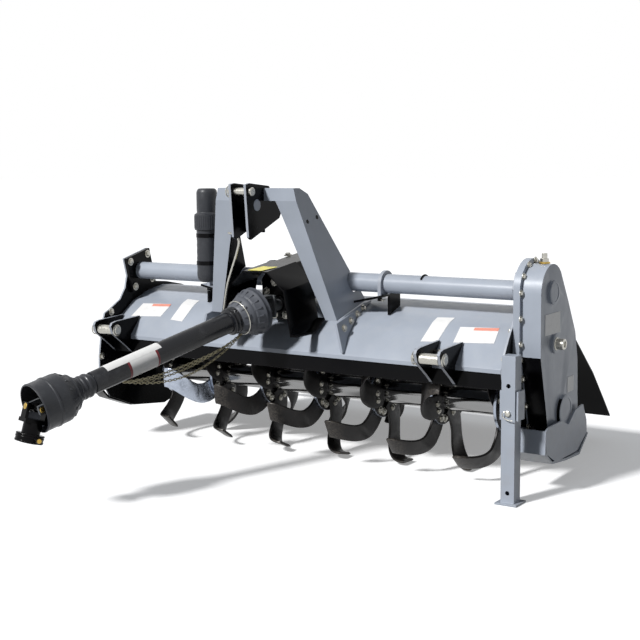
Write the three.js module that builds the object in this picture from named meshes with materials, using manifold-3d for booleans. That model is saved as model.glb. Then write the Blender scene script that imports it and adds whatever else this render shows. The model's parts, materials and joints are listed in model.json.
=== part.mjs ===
// Rotavator: tractor-mounted rotary tiller with its driveline, parked on its stand.
// Millimetres. +Z up, the tractor side is -Y, +X is the gear-case side.
import * as THREE from 'three';
import { mergeVertices } from 'three/addons/utils/BufferGeometryUtils.js';
import { ConvexGeometry } from 'three/addons/geometries/ConvexGeometry.js';
import Module from 'manifold-3d';

const wasm = await Module();
wasm.setup();

// ---------------------------------------------------------------- dimensions
const GAP = 0.3; // between pieces that rest on each other

// ends of the machine
const PLATE_RIGHT_X = -731; // inner face of the plain end plate
const PLATE_LEFT_X = 875; // inner face of the gear-side end plate
const PLATE_T = 8;

// main tube
const TUBE_Y = 168;
const TUBE_Z = 637;
const TUBE_R = 32;
const TUBE_WALL = 6;

// rotor
const ROTOR_Y = 267;
const ROTOR_Z = 247;
const ROTOR_R = 40;
const GANG_COUNT = 7;
const GANG_PITCH = 233;
const GANG_FIRST_X = -625;
const TINE_R = 240;
const HUB_R = 92;
const HUB_T = 12;
const TINE_T = 9;
const TINE_W = 84;
const TINE_ARC = 90; // radius of a blade's bend
const TINE_REACH = 98; // how far a blade goes to the side
const TINES_A_SIDE = 3;
const TINE_SWEEP = 0.716; // how far a blade's tip trails its foot
const ROTOR_PHASE = 1.012;
const GANG_TURN = 0.175; // each gang is turned a little past the last

// deck sheet: top surface from the front lip to the rear hinge
const DECK_T = 5;
const DECK = [[0, 396], [0, 410], [46, 464], [130, 523], [220, 556], [300, 570], [360, 566], [430, 548],
  [492, 516]];

// tailgate
const GATE_Y = 506;
const GATE_Z = 498;
const GATE_T = 5;
const GATE = [[516, 486], [620, 430], [800, 282], [920, 160], [985, 92]];

// driveline: the rear joint, and places along the driveline counted forward from it
const MAST_X = 8; // middle of the mast, the gearbox and the driveline
const JOINT_Y = -38;
const JOINT_Z = 556;
const DRIVE_YAW = 16.1;
const DRIVE_PITCH = 15;
const DROOP = 58; // how far the front yoke hangs down from the shaft's line
const GUARD_R = 35;
const GUARD_WALL = 3;
const BELL_R = 80;
const BELL_WALL = 4;
const REAR_BELL = 25;
const REAR_TUBE_END = 690;
const FRONT_COLLAR = 703;
const FRONT_BELL = 893;
const FRONT_BELL_R = 77;
const FRONT_JOINT = 885;
const COUPLER_R = 42;
const COUPLER_END = 106;

// parking stand
const LEG_Y = -8;
const LEG_W = 45;
const SLEEVE_GAP = 2;
const SLEEVE_T = 6;
const LEG_X = PLATE_LEFT_X + PLATE_T + SLEEVE_T + SLEEVE_GAP + LEG_W / 2 + 0.5;
const LEG_TOP = 460;
const FOOT_OUT = 14; // foot plate past the leg

// mast
const MAST_TOP_Z = 960;
const ARM_LEAN = 0.2447; // outward for each unit down
const ARM_TOP_X = 156;
const ARM_T = 8;
const PIN_Y = -147;
const PIN_Z = MAST_TOP_Z - 10;
const PIN_R = 12.5;
const HITCH_GAP = 52;
const HITCH_T = 10;

// lower hitch
const CLEVIS_X = 674;
const CLEVIS_Y = -78;
const CLEVIS_Z = 438;
const CLEVIS_GAP = 72;

// ---------------------------------------------------------------- materials
const paint = (color, roughness, metalness) =>
  new THREE.MeshStandardMaterial({ color, roughness, metalness });
const GREY = paint(0x6d7480, 0.45, 0.1);
const BLACK = paint(0x121214, 0.35, 0.1);
const STEEL = paint(0xa9abad, 0.35, 0.9);
const WORN = paint(0x2a2725, 0.5, 0.6);
const PLASTIC = paint(0x17181a, 0.45, 0.0);

// ---------------------------------------------------------------- solids
function solid(geometry) {
  const bare = geometry.clone();
  bare.deleteAttribute('normal');
  bare.deleteAttribute('uv');
  const merged = mergeVertices(bare, 1e-3);
  const kept = [];
  const index = merged.index.array;
  for (let i = 0; i < index.length; i += 3) {
    const [a, b, c] = [index[i], index[i + 1], index[i + 2]];
    if (a !== b && b !== c && c !== a) kept.push(a, b, c);
  }
  const vertProperties = new Float32Array(merged.attributes.position.array);
  const triVerts = new Uint32Array(kept);
  return new wasm.Manifold(new wasm.Mesh({ numProp: 3, vertProperties, triVerts }));
}

function geometryOf(body) {
  const mesh = body.getMesh();
  const geometry = new THREE.BufferGeometry();
  const position = new Float32Array(mesh.vertProperties);
  geometry.setAttribute('position', new THREE.BufferAttribute(position, 3));
  geometry.setIndex(new THREE.BufferAttribute(new Uint32Array(mesh.triVerts), 1));
  geometry.computeVertexNormals();
  return geometry;
}

function block(x0, x1, y0, y1, z0, z1) {
  const geometry = new THREE.BoxGeometry(x1 - x0, y1 - y0, z1 - z0);
  geometry.translate((x0 + x1) / 2, (y0 + y1) / 2, (z0 + z1) / 2);
  return solid(geometry);
}

// round bar from point a to point b
function rod(a, b, radius, sides = 24) {
  const from = new THREE.Vector3(...a);
  const to = new THREE.Vector3(...b);
  const along = to.clone().sub(from);
  const geometry = new THREE.CylinderGeometry(radius, radius, along.length(), sides);
  const turn = new THREE.Quaternion();
  turn.setFromUnitVectors(new THREE.Vector3(0, 1, 0), along.clone().normalize());
  geometry.applyQuaternion(turn);
  const middle = from.add(to).multiplyScalar(0.5);
  geometry.translate(middle.x, middle.y, middle.z);
  return solid(geometry);
}

function shapeOf(points) {
  return new THREE.Shape(points.map(([u, v]) => new THREE.Vector2(u, v)));
}

// outline in Y and Z, extruded along X
function plateX(points, x0, x1) {
  const geometry = new THREE.ExtrudeGeometry(shapeOf(points), {
    depth: x1 - x0, bevelEnabled: false, steps: 1, curveSegments: 8 });
  const axes = new THREE.Matrix4().makeBasis(
    new THREE.Vector3(0, 1, 0), new THREE.Vector3(0, 0, 1), new THREE.Vector3(1, 0, 0));
  geometry.applyMatrix4(axes);
  geometry.translate(x0, 0, 0);
  return solid(geometry);
}

// a plate like that, at a distance outside the mast arm's leaning outer face
function leaning(points, side, inner, outer) {
  const geometry = new THREE.ExtrudeGeometry(shapeOf(points), {
    depth: outer - inner, bevelEnabled: false, steps: 1 });
  const axes = new THREE.Matrix4().makeBasis(
    new THREE.Vector3(0, 1, 0), new THREE.Vector3(0, 0, 1), new THREE.Vector3(1, 0, 0));
  geometry.applyMatrix4(axes);
  geometry.translate(side > 0 ? inner : -outer, 0, 0);
  const p = geometry.attributes.position;
  for (let i = 0; i < p.count; i += 1) {
    p.setX(i, p.getX(i) + side * outerX(p.getZ(i)));
  }
  return solid(geometry).translate(MAST_X, 0, 0);
}

// outline in X and Z, extruded along Y and rising to the rear
function raked(points, y0, y1, slope) {
  const geometry = new THREE.ExtrudeGeometry(shapeOf(points), {
    depth: y1 - y0, bevelEnabled: false, steps: 1 });
  geometry.rotateX(Math.PI / 2);
  geometry.translate(0, y1, 0);
  const p = geometry.attributes.position;
  for (let i = 0; i < p.count; i += 1) p.setZ(i, p.getZ(i) + slope * (p.getY(i) - y0));
  return solid(geometry);
}

// convex slab: a face's corners and the same corners moved by an offset
function slab(corners, offset) {
  const points = [];
  for (const c of corners) {
    points.push(new THREE.Vector3(...c));
    points.push(new THREE.Vector3(c[0] + offset[0], c[1] + offset[1], c[2] + offset[2]));
  }
  return solid(new ConvexGeometry(points));
}

// closed outline of a folded sheet: the given line is its top, t its thickness below
function folded(line, t) {
  const under = [];
  for (let i = 0; i < line.length; i += 1) {
    const before = line[Math.max(i - 1, 0)];
    const here = line[i];
    const after = line[Math.min(i + 1, line.length - 1)];
    const unit = (p, q) => {
      const length = Math.hypot(q[0] - p[0], q[1] - p[1]) || 1;
      return [(q[0] - p[0]) / length, (q[1] - p[1]) / length];
    };
    const u = i > 0 ? unit(before, here) : unit(here, after);
    const v = i < line.length - 1 ? unit(here, after) : u;
    const n = [u[1] + v[1], -(u[0] + v[0])];
    const size = Math.hypot(n[0], n[1]);
    const half = (n[0] * u[1] - n[1] * u[0]) / size;
    under.push([here[0] + (n[0] / size) * t / half, here[1] + (n[1] / size) * t / half]);
  }
  return [...line, ...under.reverse()];
}

function circle(y, z, radius, from = 0, to = 360, steps = 24) {
  const points = [];
  for (let i = 0; i <= steps; i += 1) {
    const a = THREE.MathUtils.degToRad(from + ((to - from) * i) / steps);
    points.push([y + radius * Math.cos(a), z + radius * Math.sin(a)]);
  }
  return points;
}

// turned body along local -Y: its outline gives distance forward and radius, and closes on itself
function turned(outline, sides = 32) {
  const points = [...outline, outline[0]].map(([along, radius]) => new THREE.Vector2(radius, -along));
  return solid(new THREE.LatheGeometry(points, sides));
}

const pieces = [];
function piece(name, body, material) {
  const mesh = new THREE.Mesh(geometryOf(body), material);
  mesh.name = name;
  pieces.push(mesh);
  return mesh;
}
const union = (list) => list.reduce((sum, next) => sum.add(next));

// ---------------------------------------------------------------- housing
const deckOutline = folded(DECK, DECK_T);
piece('deck', plateX(deckOutline, PLATE_RIGHT_X + GAP, PLATE_LEFT_X - GAP), GREY);
piece('front_apron', union([
  block(PLATE_RIGHT_X + GAP, PLATE_LEFT_X - GAP, 7, 13, 345, 404),
  block(PLATE_RIGHT_X + GAP, PLATE_LEFT_X - GAP, 7, 25, 345, 351),
]), BLACK);

const bearing = (x0, x1) => rod([x0, ROTOR_Y, ROTOR_Z], [x1, ROTOR_Y, ROTOR_Z], 20.4, 32);
const flangeHalf = 68;
const lean = Math.atan2(ROTOR_Y - TUBE_Y, TUBE_Z - ROTOR_Z);
function tilted(u, v) {
  const across = u * Math.cos(lean) - v * Math.sin(lean);
  const up = u * Math.sin(lean) + v * Math.cos(lean);
  return [TUBE_Y + across, TUBE_Z + up];
}
const rightOutline = [
  tilted(-flangeHalf, flangeHalf), tilted(-flangeHalf, 0), [90, 575], [61, 534], [2, 502], [-26, 490],
  [-42, 446], [-60, 330], [-62, 250], [-10, 170], [120, 116], [300, 94], [420, 126], [520, 250],
  [545, 400], [500, 520], [430, 560], [330, 580], tilted(flangeHalf, -flangeHalf),
  tilted(flangeHalf, flangeHalf),
];
piece('end_plate_right', plateX(rightOutline, PLATE_RIGHT_X - PLATE_T, PLATE_RIGHT_X)
  .add(rod([PLATE_RIGHT_X - 40, ROTOR_Y, ROTOR_Z], [PLATE_RIGHT_X, ROTOR_Y, ROTOR_Z], 60, 32))
  .subtract(bearing(PLATE_RIGHT_X - 20, PLATE_RIGHT_X + 5)), BLACK);
const leftOutline = [
  [72, 650], [106, 602], [91, 570], [73, 541], [46, 509], [24, 477], [11, 456], [-2, 400], [20, 300],
  [60, 160], [200, 110], [330, 110], [430, 160], [520, 250], [545, 400], [500, 520], [430, 560],
  [330, 580], [290, 640], [240, 700], [168, 720], [95, 700],
];
piece('end_plate_left', plateX(leftOutline, PLATE_LEFT_X, PLATE_LEFT_X + PLATE_T)
  .subtract(bearing(PLATE_LEFT_X - 5, PLATE_LEFT_X + 20)), BLACK);

const caseX = PLATE_LEFT_X + PLATE_T + GAP;
const CASE_DEPTH = 86;
const CASE_FLANGE = 22;
const caseOutline = [
  [82, 441], [79, 637], ...circle(TUBE_Y, TUBE_Z, 89, 170, 42, 10), [299, 598], [363, 492], [386, 398],
  ...circle(ROTOR_Y, ROTOR_Z, 127, 10, -166, 18),
];
const caseFlange = [
  [67, 441], [66, 637], ...circle(TUBE_Y, TUBE_Z, 105, 168, 42, 10), [314, 606], [378, 498], [399, 404],
  ...circle(ROTOR_Y, ROTOR_Z, 137, 12, -164, 18),
];
const OUT_X = caseX + CASE_DEPTH;
piece('gear_case', union([
  plateX(caseFlange, caseX, caseX + CASE_FLANGE),
  plateX(caseOutline, caseX + CASE_FLANGE - 2, OUT_X),
  rod([OUT_X - 2, TUBE_Y, TUBE_Z], [OUT_X + 8, TUBE_Y, TUBE_Z], 38, 32),
  rod([OUT_X - 2, 188, 474], [OUT_X + 7, 188, 474], 30, 32),
  rod([OUT_X - 2, ROTOR_Y, ROTOR_Z], [OUT_X + 10, ROTOR_Y, ROTOR_Z], 52, 32),
]).subtract(bearing(caseX - 5, caseX + 30)), GREY);
piece('oil_plug', union([
  rod([caseX + 56, 172, 726 + GAP], [caseX + 56, 172, 742], 14, 6),
  rod([caseX + 56, 172, 741], [caseX + 56, 172, 758], 9, 16),
]), STEEL);

const SKID_T = 8;
const guardSide = [
  [92, 214], [113, 222], [214, 225], [273, 202], [331, 240], [398, 247], [430, 190], [434, 146],
  [349, 101], [173, 101], [96, 140],
];
const guardRun = [[88, 214], [84, 140], [140, 100], [260, 88], [372, 84], [446, 140]];
piece('skid_guard_left', union([
  plateX(guardSide, OUT_X + 12, OUT_X + 18),
  plateX(folded(guardRun, -SKID_T), caseX, OUT_X + 18),
]), GREY);
const SKID_W = 50;
piece('skid_right', plateX(folded([
  [-66, 266], [-58, 210], [-12, 164], [112, 116], [305, 94], [424, 120],
], -SKID_T), PLATE_RIGHT_X - PLATE_T - GAP - SKID_W, PLATE_RIGHT_X - PLATE_T - GAP), BLACK);

// ---------------------------------------------------------------- main tube
const tubeRod = (x0, x1, radius) => rod([x0, TUBE_Y, TUBE_Z], [x1, TUBE_Y, TUBE_Z], radius, 36);
const tubeBore = tubeRod(-2000, 2000, TUBE_R - TUBE_WALL);
const BOX_X = 96; // half the gearbox's width
const COLLAR_R = 62;
const COLLAR_T = 14;
piece('main_tube_right', union([
  tubeRod(PLATE_RIGHT_X + GAP, MAST_X - BOX_X - GAP, TUBE_R),
  tubeRod(MAST_X - BOX_X - COLLAR_T, MAST_X - BOX_X - GAP, COLLAR_R),
]).subtract(tubeBore), GREY);
piece('main_tube_left', union([
  tubeRod(MAST_X + BOX_X + GAP, PLATE_LEFT_X - GAP, TUBE_R),
  tubeRod(MAST_X + BOX_X + GAP, MAST_X + BOX_X + COLLAR_T, COLLAR_R),
]).subtract(tubeBore), GREY);
piece('tube_flange_right', plateX([
  tilted(-flangeHalf, -flangeHalf), tilted(flangeHalf, -flangeHalf),
  tilted(flangeHalf, flangeHalf), tilted(-flangeHalf, flangeHalf),
], PLATE_RIGHT_X + GAP, PLATE_RIGHT_X + 14).subtract(tubeRod(-1000, 0, TUBE_R + GAP)), BLACK);

// ---------------------------------------------------------------- gearbox
const BOX_Y = 90;
const RAKE = 0.132; // the gearbox and its hood rise to the rear
const boxLine = [[-BOX_X, 566], [-BOX_X, 640], [-50, 701], [50, 701], [BOX_X, 640], [BOX_X, 566]];
const atMast = (body) => body.translate(MAST_X, 0, 0);
piece('gearbox', atMast(union([
  raked(boxLine, BOX_Y, 252, RAKE),
  rod([0, BOX_Y + 10, JOINT_Z + 20], [0, 64, JOINT_Z + 20], 74, 32),
  rod([0, BOX_Y, JOINT_Z], [0, 52, JOINT_Z], 30, 32),
])), BLACK);
const UJ_R = 8;
const UJ_ARM = 36;
const earHole = (axis) => rod(axis.map((v) => -v * 60), axis.map((v) => v * 60), UJ_R + 0.4, 16);
const atJoint = (body) => body.translate(MAST_X, JOINT_Y, JOINT_Z);
piece('input_yoke', atJoint(union([
  rod([0, 52 - GAP - JOINT_Y, 0], [0, 40, 0], 20, 24),
  block(-22, 22, 38, 50, -38, 38),
  block(-14, 14, -12, 40, 28, 38),
  block(-14, 14, -12, 40, -38, -28),
]).subtract(earHole([0, 0, 1]))), STEEL);

// ---------------------------------------------------------------- hood over the input
const HOOD_FRONT = -80;
const HOOD_T = 4;
const hoodLine = [[-145, 440], [-145, 470], [-118, 620], [-50, 682], [50, 682], [118, 620], [145, 470],
  [145, 440]];
const hoodFoot = [[-400, 0], [-400, 468], [32, 468], [120, 530], [200, 560], [200, 0]];
const rail = (x0, x1) => plateX(folded([[HOOD_FRONT, 474], [30, 474], [BOX_Y - GAP, 516]], 5), x0, x1);
piece('input_guard', atMast(union([
  raked(folded(hoodLine, HOOD_T), HOOD_FRONT, BOX_Y - GAP, RAKE).subtract(plateX(hoodFoot, -300, 300)),
  rail(-168, -140),
  rail(140, 168),
])), BLACK);

// ---------------------------------------------------------------- mast
function outerX(z) {
  return ARM_TOP_X + ARM_LEAN * (MAST_TOP_Z - z);
}
const FOOT_Z = 520;
const FOOT_Y = 17;
const STRIP_Z = MAST_TOP_Z - 42; // lower edge of the strip across the top
const ARM_FRONT = -73;
const armWeb = [[ARM_FRONT, STRIP_Z], [ARM_FRONT, MAST_TOP_Z], [-38, MAST_TOP_Z], [4, MAST_TOP_Z - 20],
  [223, 569], [FOOT_Y, FOOT_Z]];
const hitchOut = HITCH_GAP / 2 + HITCH_T;
function mastArm(side) {
  const at = (x, y, z) => [side * x + MAST_X, y, z];
  const front = slab([
    at(84, ARM_FRONT, STRIP_Z), at(outerX(STRIP_Z), ARM_FRONT, STRIP_Z),
    at(outerX(FOOT_Z), FOOT_Y, FOOT_Z), at(218, FOOT_Y, FOOT_Z),
  ], [0, ARM_T, 0]);
  const strip = slab([
    at(hitchOut + GAP, ARM_FRONT, STRIP_Z), at(outerX(STRIP_Z), ARM_FRONT, STRIP_Z),
    at(outerX(MAST_TOP_Z), ARM_FRONT, MAST_TOP_Z), at(hitchOut + GAP, ARM_FRONT, MAST_TOP_Z),
  ], [0, ARM_T, 0]);
  const top = slab([
    at(hitchOut + GAP, ARM_FRONT, MAST_TOP_Z), at(outerX(MAST_TOP_Z), ARM_FRONT, MAST_TOP_Z),
    at(outerX(MAST_TOP_Z), -38, MAST_TOP_Z), at(hitchOut + GAP, -38, MAST_TOP_Z),
  ], [0, 0, -ARM_T]);
  return union([leaning(armWeb, side, -ARM_T, 0), front, strip, top])
    .subtract(tubeRod(-400, 400, TUBE_R + 3));
}
piece('mast_arm_left', mastArm(1), GREY);
piece('mast_arm_right', mastArm(-1), GREY);

const BRACKET = [[-6, 514], [206, 562], [239, 568], [240, 562], [219, 557.6], [129, 524.5], [44, 465.5],
  [4, 418], [-6, 418]];
piece('mast_bracket_left', leaning(BRACKET, 1, 2, 12), BLACK);
piece('mast_bracket_right', leaning(BRACKET, -1, 2, 12), BLACK);

const HITCH = [
  [-172, 14], [-150, 18], [-41, 7], [26, -88], [17, -103], [-144, -168], [-158, -160], [-171, -5],
].map(([y, z]) => [y, MAST_TOP_Z + z]);
const pinHole = rod([-200, PIN_Y, PIN_Z], [200, PIN_Y, PIN_Z], PIN_R + GAP, 24);
const hitchIn = HITCH_GAP / 2;
piece('hitch_plate_left', atMast(plateX(HITCH, hitchIn, hitchOut).subtract(pinHole)), BLACK);
piece('hitch_plate_right', atMast(plateX(HITCH, -hitchOut, -hitchIn).subtract(pinHole)), BLACK);
piece('top_pin', atMast(union([
  rod([-hitchOut - 20, PIN_Y, PIN_Z], [0, PIN_Y, PIN_Z], 10, 24),
  rod([-hitchOut - 4, PIN_Y, PIN_Z], [hitchOut + 10, PIN_Y, PIN_Z], PIN_R, 24),
  rod([hitchOut + 2, PIN_Y, PIN_Z], [hitchOut + 10, PIN_Y, PIN_Z], 18, 24),
])), STEEL);
const crossplate = block(GAP - hitchIn, hitchIn - GAP, -60, -52, MAST_TOP_Z - 148, MAST_TOP_Z - 60);
piece('mast_crossplate', atMast(crossplate), BLACK);

// ---------------------------------------------------------------- lower hitch
function clevis(x) {
  const half = CLEVIS_GAP / 2;
  const outline = [[-106, 455], [-96, 426], [-24, 372], [6.5, 346], [6.5, 395.5], [-0.5, 395.5],
    [-0.5, 411.5], [46, 466.5], [53, 478], [-78, 471], [-98, 466]];
  return union([
    plateX(outline, x - half - 10, x - half),
    plateX(outline, x + half, x + half + 10),
    block(x - half - 10, x + half + 10, 0.5, 6.5, 348, 395),
  ]).subtract(rod([x - 90, CLEVIS_Y, CLEVIS_Z], [x + 90, CLEVIS_Y, CLEVIS_Z], 14.3, 24));
}
function hitchPin(x) {
  const half = CLEVIS_GAP / 2;
  return union([
    rod([x - half - 24, CLEVIS_Y, CLEVIS_Z], [x + half + 16, CLEVIS_Y, CLEVIS_Z], 14, 24),
    rod([x + half + 10.5, CLEVIS_Y, CLEVIS_Z], [x + half + 18, CLEVIS_Y, CLEVIS_Z], 21, 24),
  ]);
}
piece('lower_clevis_left', clevis(CLEVIS_X), BLACK);
piece('lower_clevis_right', clevis(-CLEVIS_X), BLACK);
piece('lower_pin_left', hitchPin(CLEVIS_X), STEEL);
piece('lower_pin_right', hitchPin(-CLEVIS_X), STEEL);

// ---------------------------------------------------------------- stand
const legHalf = LEG_W / 2;
const SLEEVE_Z0 = 262;
const SLEEVE_Z1 = 352;
function legBlock(grow, z0, z1) {
  const r = legHalf + grow;
  return block(LEG_X - r, LEG_X + r, LEG_Y - r, LEG_Y + r, z0, z1);
}
piece('stand_leg', union([
  legBlock(0, 5, LEG_TOP),
  legBlock(FOOT_OUT, 0, 6),
]).subtract(legBlock(-4, -5, LEG_TOP - 5))
  .subtract(rod([LEG_X, LEG_Y - 60, 284], [LEG_X, LEG_Y + 60, 284], 7, 16))
  .subtract(rod([LEG_X, LEG_Y - 60, 36], [LEG_X, LEG_Y + 60, 36], 7, 16))
  .subtract(rod([LEG_X, LEG_Y - 60, 368], [LEG_X, LEG_Y + 60, 368], 7, 16)), GREY);
const sleeveIn = legHalf + SLEEVE_GAP;
piece('stand_sleeve', union([
  block(LEG_X - sleeveIn - SLEEVE_T, LEG_X + sleeveIn + SLEEVE_T,
    LEG_Y - legHalf + 6, LEG_Y + sleeveIn + SLEEVE_T, SLEEVE_Z0, SLEEVE_Z1),
  block(PLATE_LEFT_X + PLATE_T + GAP, LEG_X - sleeveIn, LEG_Y + 20, 60, SLEEVE_Z0, SLEEVE_Z1 - 20),
]).subtract(block(LEG_X - sleeveIn, LEG_X + sleeveIn, -200, LEG_Y + sleeveIn, 0, 900)), GREY);
piece('stand_pin', union([
  rod([LEG_X, LEG_Y - legHalf - 8, 284], [LEG_X, LEG_Y - legHalf - GAP, 284], 9, 16),
  rod([LEG_X, LEG_Y - legHalf - 8, 284], [LEG_X, LEG_Y - legHalf + 12, 284], 6, 16),
]), STEEL);

// ---------------------------------------------------------------- small pieces on the mast
const canister = [[0, 622], [26, 623], [36, 632], [39, 646], [39, 807], [45, 810], [45, 864], [39, 868],
  [36, 872], [36, 944], [30, 954], [0, 955]];
const canisterTurned = new THREE.LatheGeometry(canister.map(([r, z]) => new THREE.Vector2(r, z)), 32);
canisterTurned.rotateX(Math.PI / 2);
canisterTurned.translate(-292, 46, 0);
piece('manual_canister', solid(canisterTurned), PLASTIC);
const WIRE_R = 4;
const hookPath = new THREE.CatmullRomCurve3([
  [-118, -56, 806], [-96, -82, 808], [-66, -92, 804], [-48, -92, 783], [-60, -91, 739], [-85, -90, 677],
  [-105, -90, 618], [-122, -90, 520]].map((p) => new THREE.Vector3(...p)));
const wire = new THREE.Shape();
wire.absarc(0, 0, WIRE_R, 0, Math.PI * 2, false);
piece('driveline_hook', solid(new THREE.ExtrudeGeometry(wire, {
  extrudePath: hookPath, steps: 22, curveSegments: 4, bevelEnabled: false })), STEEL);

// saddle plate from the bracket to under the tube, with a bent rod over the tube
const SADDLE_X = 371;
const SADDLE_Z = TUBE_Z - TUBE_R - GAP;
function tubeClamp(side) {
  return union([
    tubeRod(SADDLE_X - 6, SADDLE_X + 6, TUBE_R + 12)
      .subtract(tubeRod(SADDLE_X - 9, SADDLE_X + 9, TUBE_R + GAP)),
    block(SADDLE_X - 6, SADDLE_X + 6, TUBE_Y - TUBE_R - 12, TUBE_Y - TUBE_R - 2, SADDLE_Z - 24, TUBE_Z),
    block(SADDLE_X - 6, SADDLE_X + 6, TUBE_Y + TUBE_R + 2, TUBE_Y + TUBE_R + 12, SADDLE_Z - 24, TUBE_Z),
    slab([[outerX(566) + MAST_X + 14, 120, 578], [SADDLE_X + 26, 112, SADDLE_Z],
      [SADDLE_X + 26, 222, SADDLE_Z], [outerX(566) + MAST_X + 14, 238, 578]], [0, 0, -8]),
    slab([[SADDLE_X + 26, 150, SADDLE_Z], [SADDLE_X + 26, 222, SADDLE_Z], [SADDLE_X + 26, 222, 558],
      [SADDLE_X + 26, 150, 533]], [-8, 0, 0]),
  ]).scale([side, 1, 1]);
}
piece('tube_clamp_left', tubeClamp(1), BLACK);
piece('tube_clamp_right', tubeClamp(-1).translate(2 * MAST_X, 0, 0), BLACK);

// ---------------------------------------------------------------- rotor
piece('rotor_tube', union([
  rod([PLATE_RIGHT_X + 24, ROTOR_Y, ROTOR_Z], [PLATE_LEFT_X - 24, ROTOR_Y, ROTOR_Z], ROTOR_R, 32),
  rod([PLATE_RIGHT_X - 14, ROTOR_Y, ROTOR_Z], [PLATE_RIGHT_X + 30, ROTOR_Y, ROTOR_Z], 20, 24),
  rod([PLATE_LEFT_X - 30, ROTOR_Y, ROTOR_Z], [PLATE_LEFT_X + 20, ROTOR_Y, ROTOR_Z], 20, 24),
]), WORN);

// one tine in the plane of its hub: a shank that sweeps back and a cup to the side
function tine(side, angle) {
  const line = [];
  for (const r of [34, 80]) line.push([0, r]);
  for (let i = 0; i <= 5; i += 1) {
    const a = (i / 5) * (Math.PI / 2);
    line.push([TINE_ARC - TINE_ARC * Math.cos(a), TINE_R - TINE_ARC + TINE_ARC * Math.sin(a)]);
  }
  line.push([TINE_REACH, TINE_R - 1]);
  const outline = folded(line, TINE_T);
  const geometry = new THREE.ExtrudeGeometry(shapeOf(outline), {
    depth: TINE_W, bevelEnabled: false, steps: 2 });
  geometry.translate(0, 0, -TINE_W / 2);
  const p = geometry.attributes.position;
  for (let i = 0; i < p.count; i += 1) {
    const x = p.getX(i);
    const r = p.getY(i);
    const across = p.getZ(i);
    const taper = 1 - 0.2 * Math.max(0, (x - 20) / TINE_REACH);
    const sweep = TINE_SWEEP * ((Math.max(r, 34) - 34) / (TINE_R - 34)) ** 1.6;
    const turn = angle - sweep;
    const u = across * taper;
    const y = u * Math.cos(turn) - r * Math.sin(turn);
    const z = u * Math.sin(turn) + r * Math.cos(turn);
    p.setXYZ(i, side * (x + HUB_T / 2), y, z);
  }
  if (side > 0) {
    for (let i = 0; i < p.count; i += 3) {
      const a = [p.getX(i + 1), p.getY(i + 1), p.getZ(i + 1)];
      const b = [p.getX(i + 2), p.getY(i + 2), p.getZ(i + 2)];
      p.setXYZ(i + 1, ...b);
      p.setXYZ(i + 2, ...a);
    }
  }
  return solid(geometry);
}
for (let g = 0; g < GANG_COUNT; g += 1) {
  const x = GANG_FIRST_X + g * GANG_PITCH;
  const list = [rod([-HUB_T / 2, 0, 0], [HUB_T / 2, 0, 0], HUB_R, 24)];
  for (let t = 0; t < TINES_A_SIDE; t += 1) {
    const angle = (t / TINES_A_SIDE) * Math.PI * 2 + g * GANG_TURN + ROTOR_PHASE;
    if (g < GANG_COUNT - 1) list.push(tine(1, angle));
    if (g > 0) list.push(tine(-1, angle + Math.PI / TINES_A_SIDE));
  }
  const gang = union(list).subtract(rod([-200, 0, 0], [200, 0, 0], ROTOR_R + GAP, 32));
  piece('tine_gang_' + (g + 1), gang.translate(x, ROTOR_Y, ROTOR_Z), WORN);
}

// ---------------------------------------------------------------- tailgate
piece('tailgate', union([
  plateX(folded(GATE, GATE_T), PLATE_RIGHT_X + 6, PLATE_LEFT_X - 6),
  rod([PLATE_RIGHT_X + 6, GATE_Y, GATE_Z], [PLATE_LEFT_X - 6, GATE_Y, GATE_Z], 10, 16),
  plateX([[500, 492], [512, 500], [524, 488], [514, 480]], PLATE_RIGHT_X + 6, PLATE_LEFT_X - 6),
]), BLACK);

// ---------------------------------------------------------------- driveline
const swing = new THREE.Matrix4().makeRotationZ(-THREE.MathUtils.degToRad(DRIVE_YAW));
const dip = new THREE.Matrix4().makeRotationX(THREE.MathUtils.degToRad(DRIVE_PITCH));
const drive = new THREE.Group();
drive.position.set(MAST_X, JOINT_Y, JOINT_Z);
drive.quaternion.setFromRotationMatrix(swing.multiply(dip));
function onDrive(name, body, material) {
  const mesh = piece(name, body, material);
  pieces.pop();
  drive.add(mesh);
}
const tubeAlong = (a, b, radius, sides = 32) => rod([0, -a, 0], [0, -b, 0], radius, sides);
const pinX = earHole([1, 0, 0]);
const SHAFT_R = 24;
const INNER_R = GUARD_R - GUARD_WALL;
piece('rear_cross', atJoint(union([
  rod([0, 0, -UJ_ARM], [0, 0, UJ_ARM], UJ_R, 16),
  rod([-UJ_ARM, 0, 0], [UJ_ARM, 0, 0], UJ_R, 16),
  solid(new THREE.SphereGeometry(14, 12, 8)),
]).rotate([0, 0, -DRIVE_YAW])), STEEL);
onDrive('rear_shaft', union([
  block(-38, -28, -48, 11, -14, 14),
  block(28, 38, -48, 11, -14, 14),
  block(-38, 38, -58, -46, -22, 22),
  tubeAlong(54, 620, SHAFT_R, 24),
]).subtract(union([tubeAlong(300, 700, 19, 24), pinX])), STEEL);
onDrive('rear_guard', turned([
  [REAR_BELL, BELL_R - BELL_WALL], [42, BELL_R - BELL_WALL], [112, 44], [122, INNER_R],
  [REAR_TUBE_END, INNER_R], [REAR_TUBE_END, GUARD_R], [152, GUARD_R], [150, 45], [122, 45], [116, 50],
  [46, BELL_R], [REAR_BELL, BELL_R],
]), PLASTIC);
const SLIDE_R = INNER_R - 1;
const frontIn = FRONT_BELL_R - BELL_WALL;
const collarOut = GUARD_R + 3;
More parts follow.
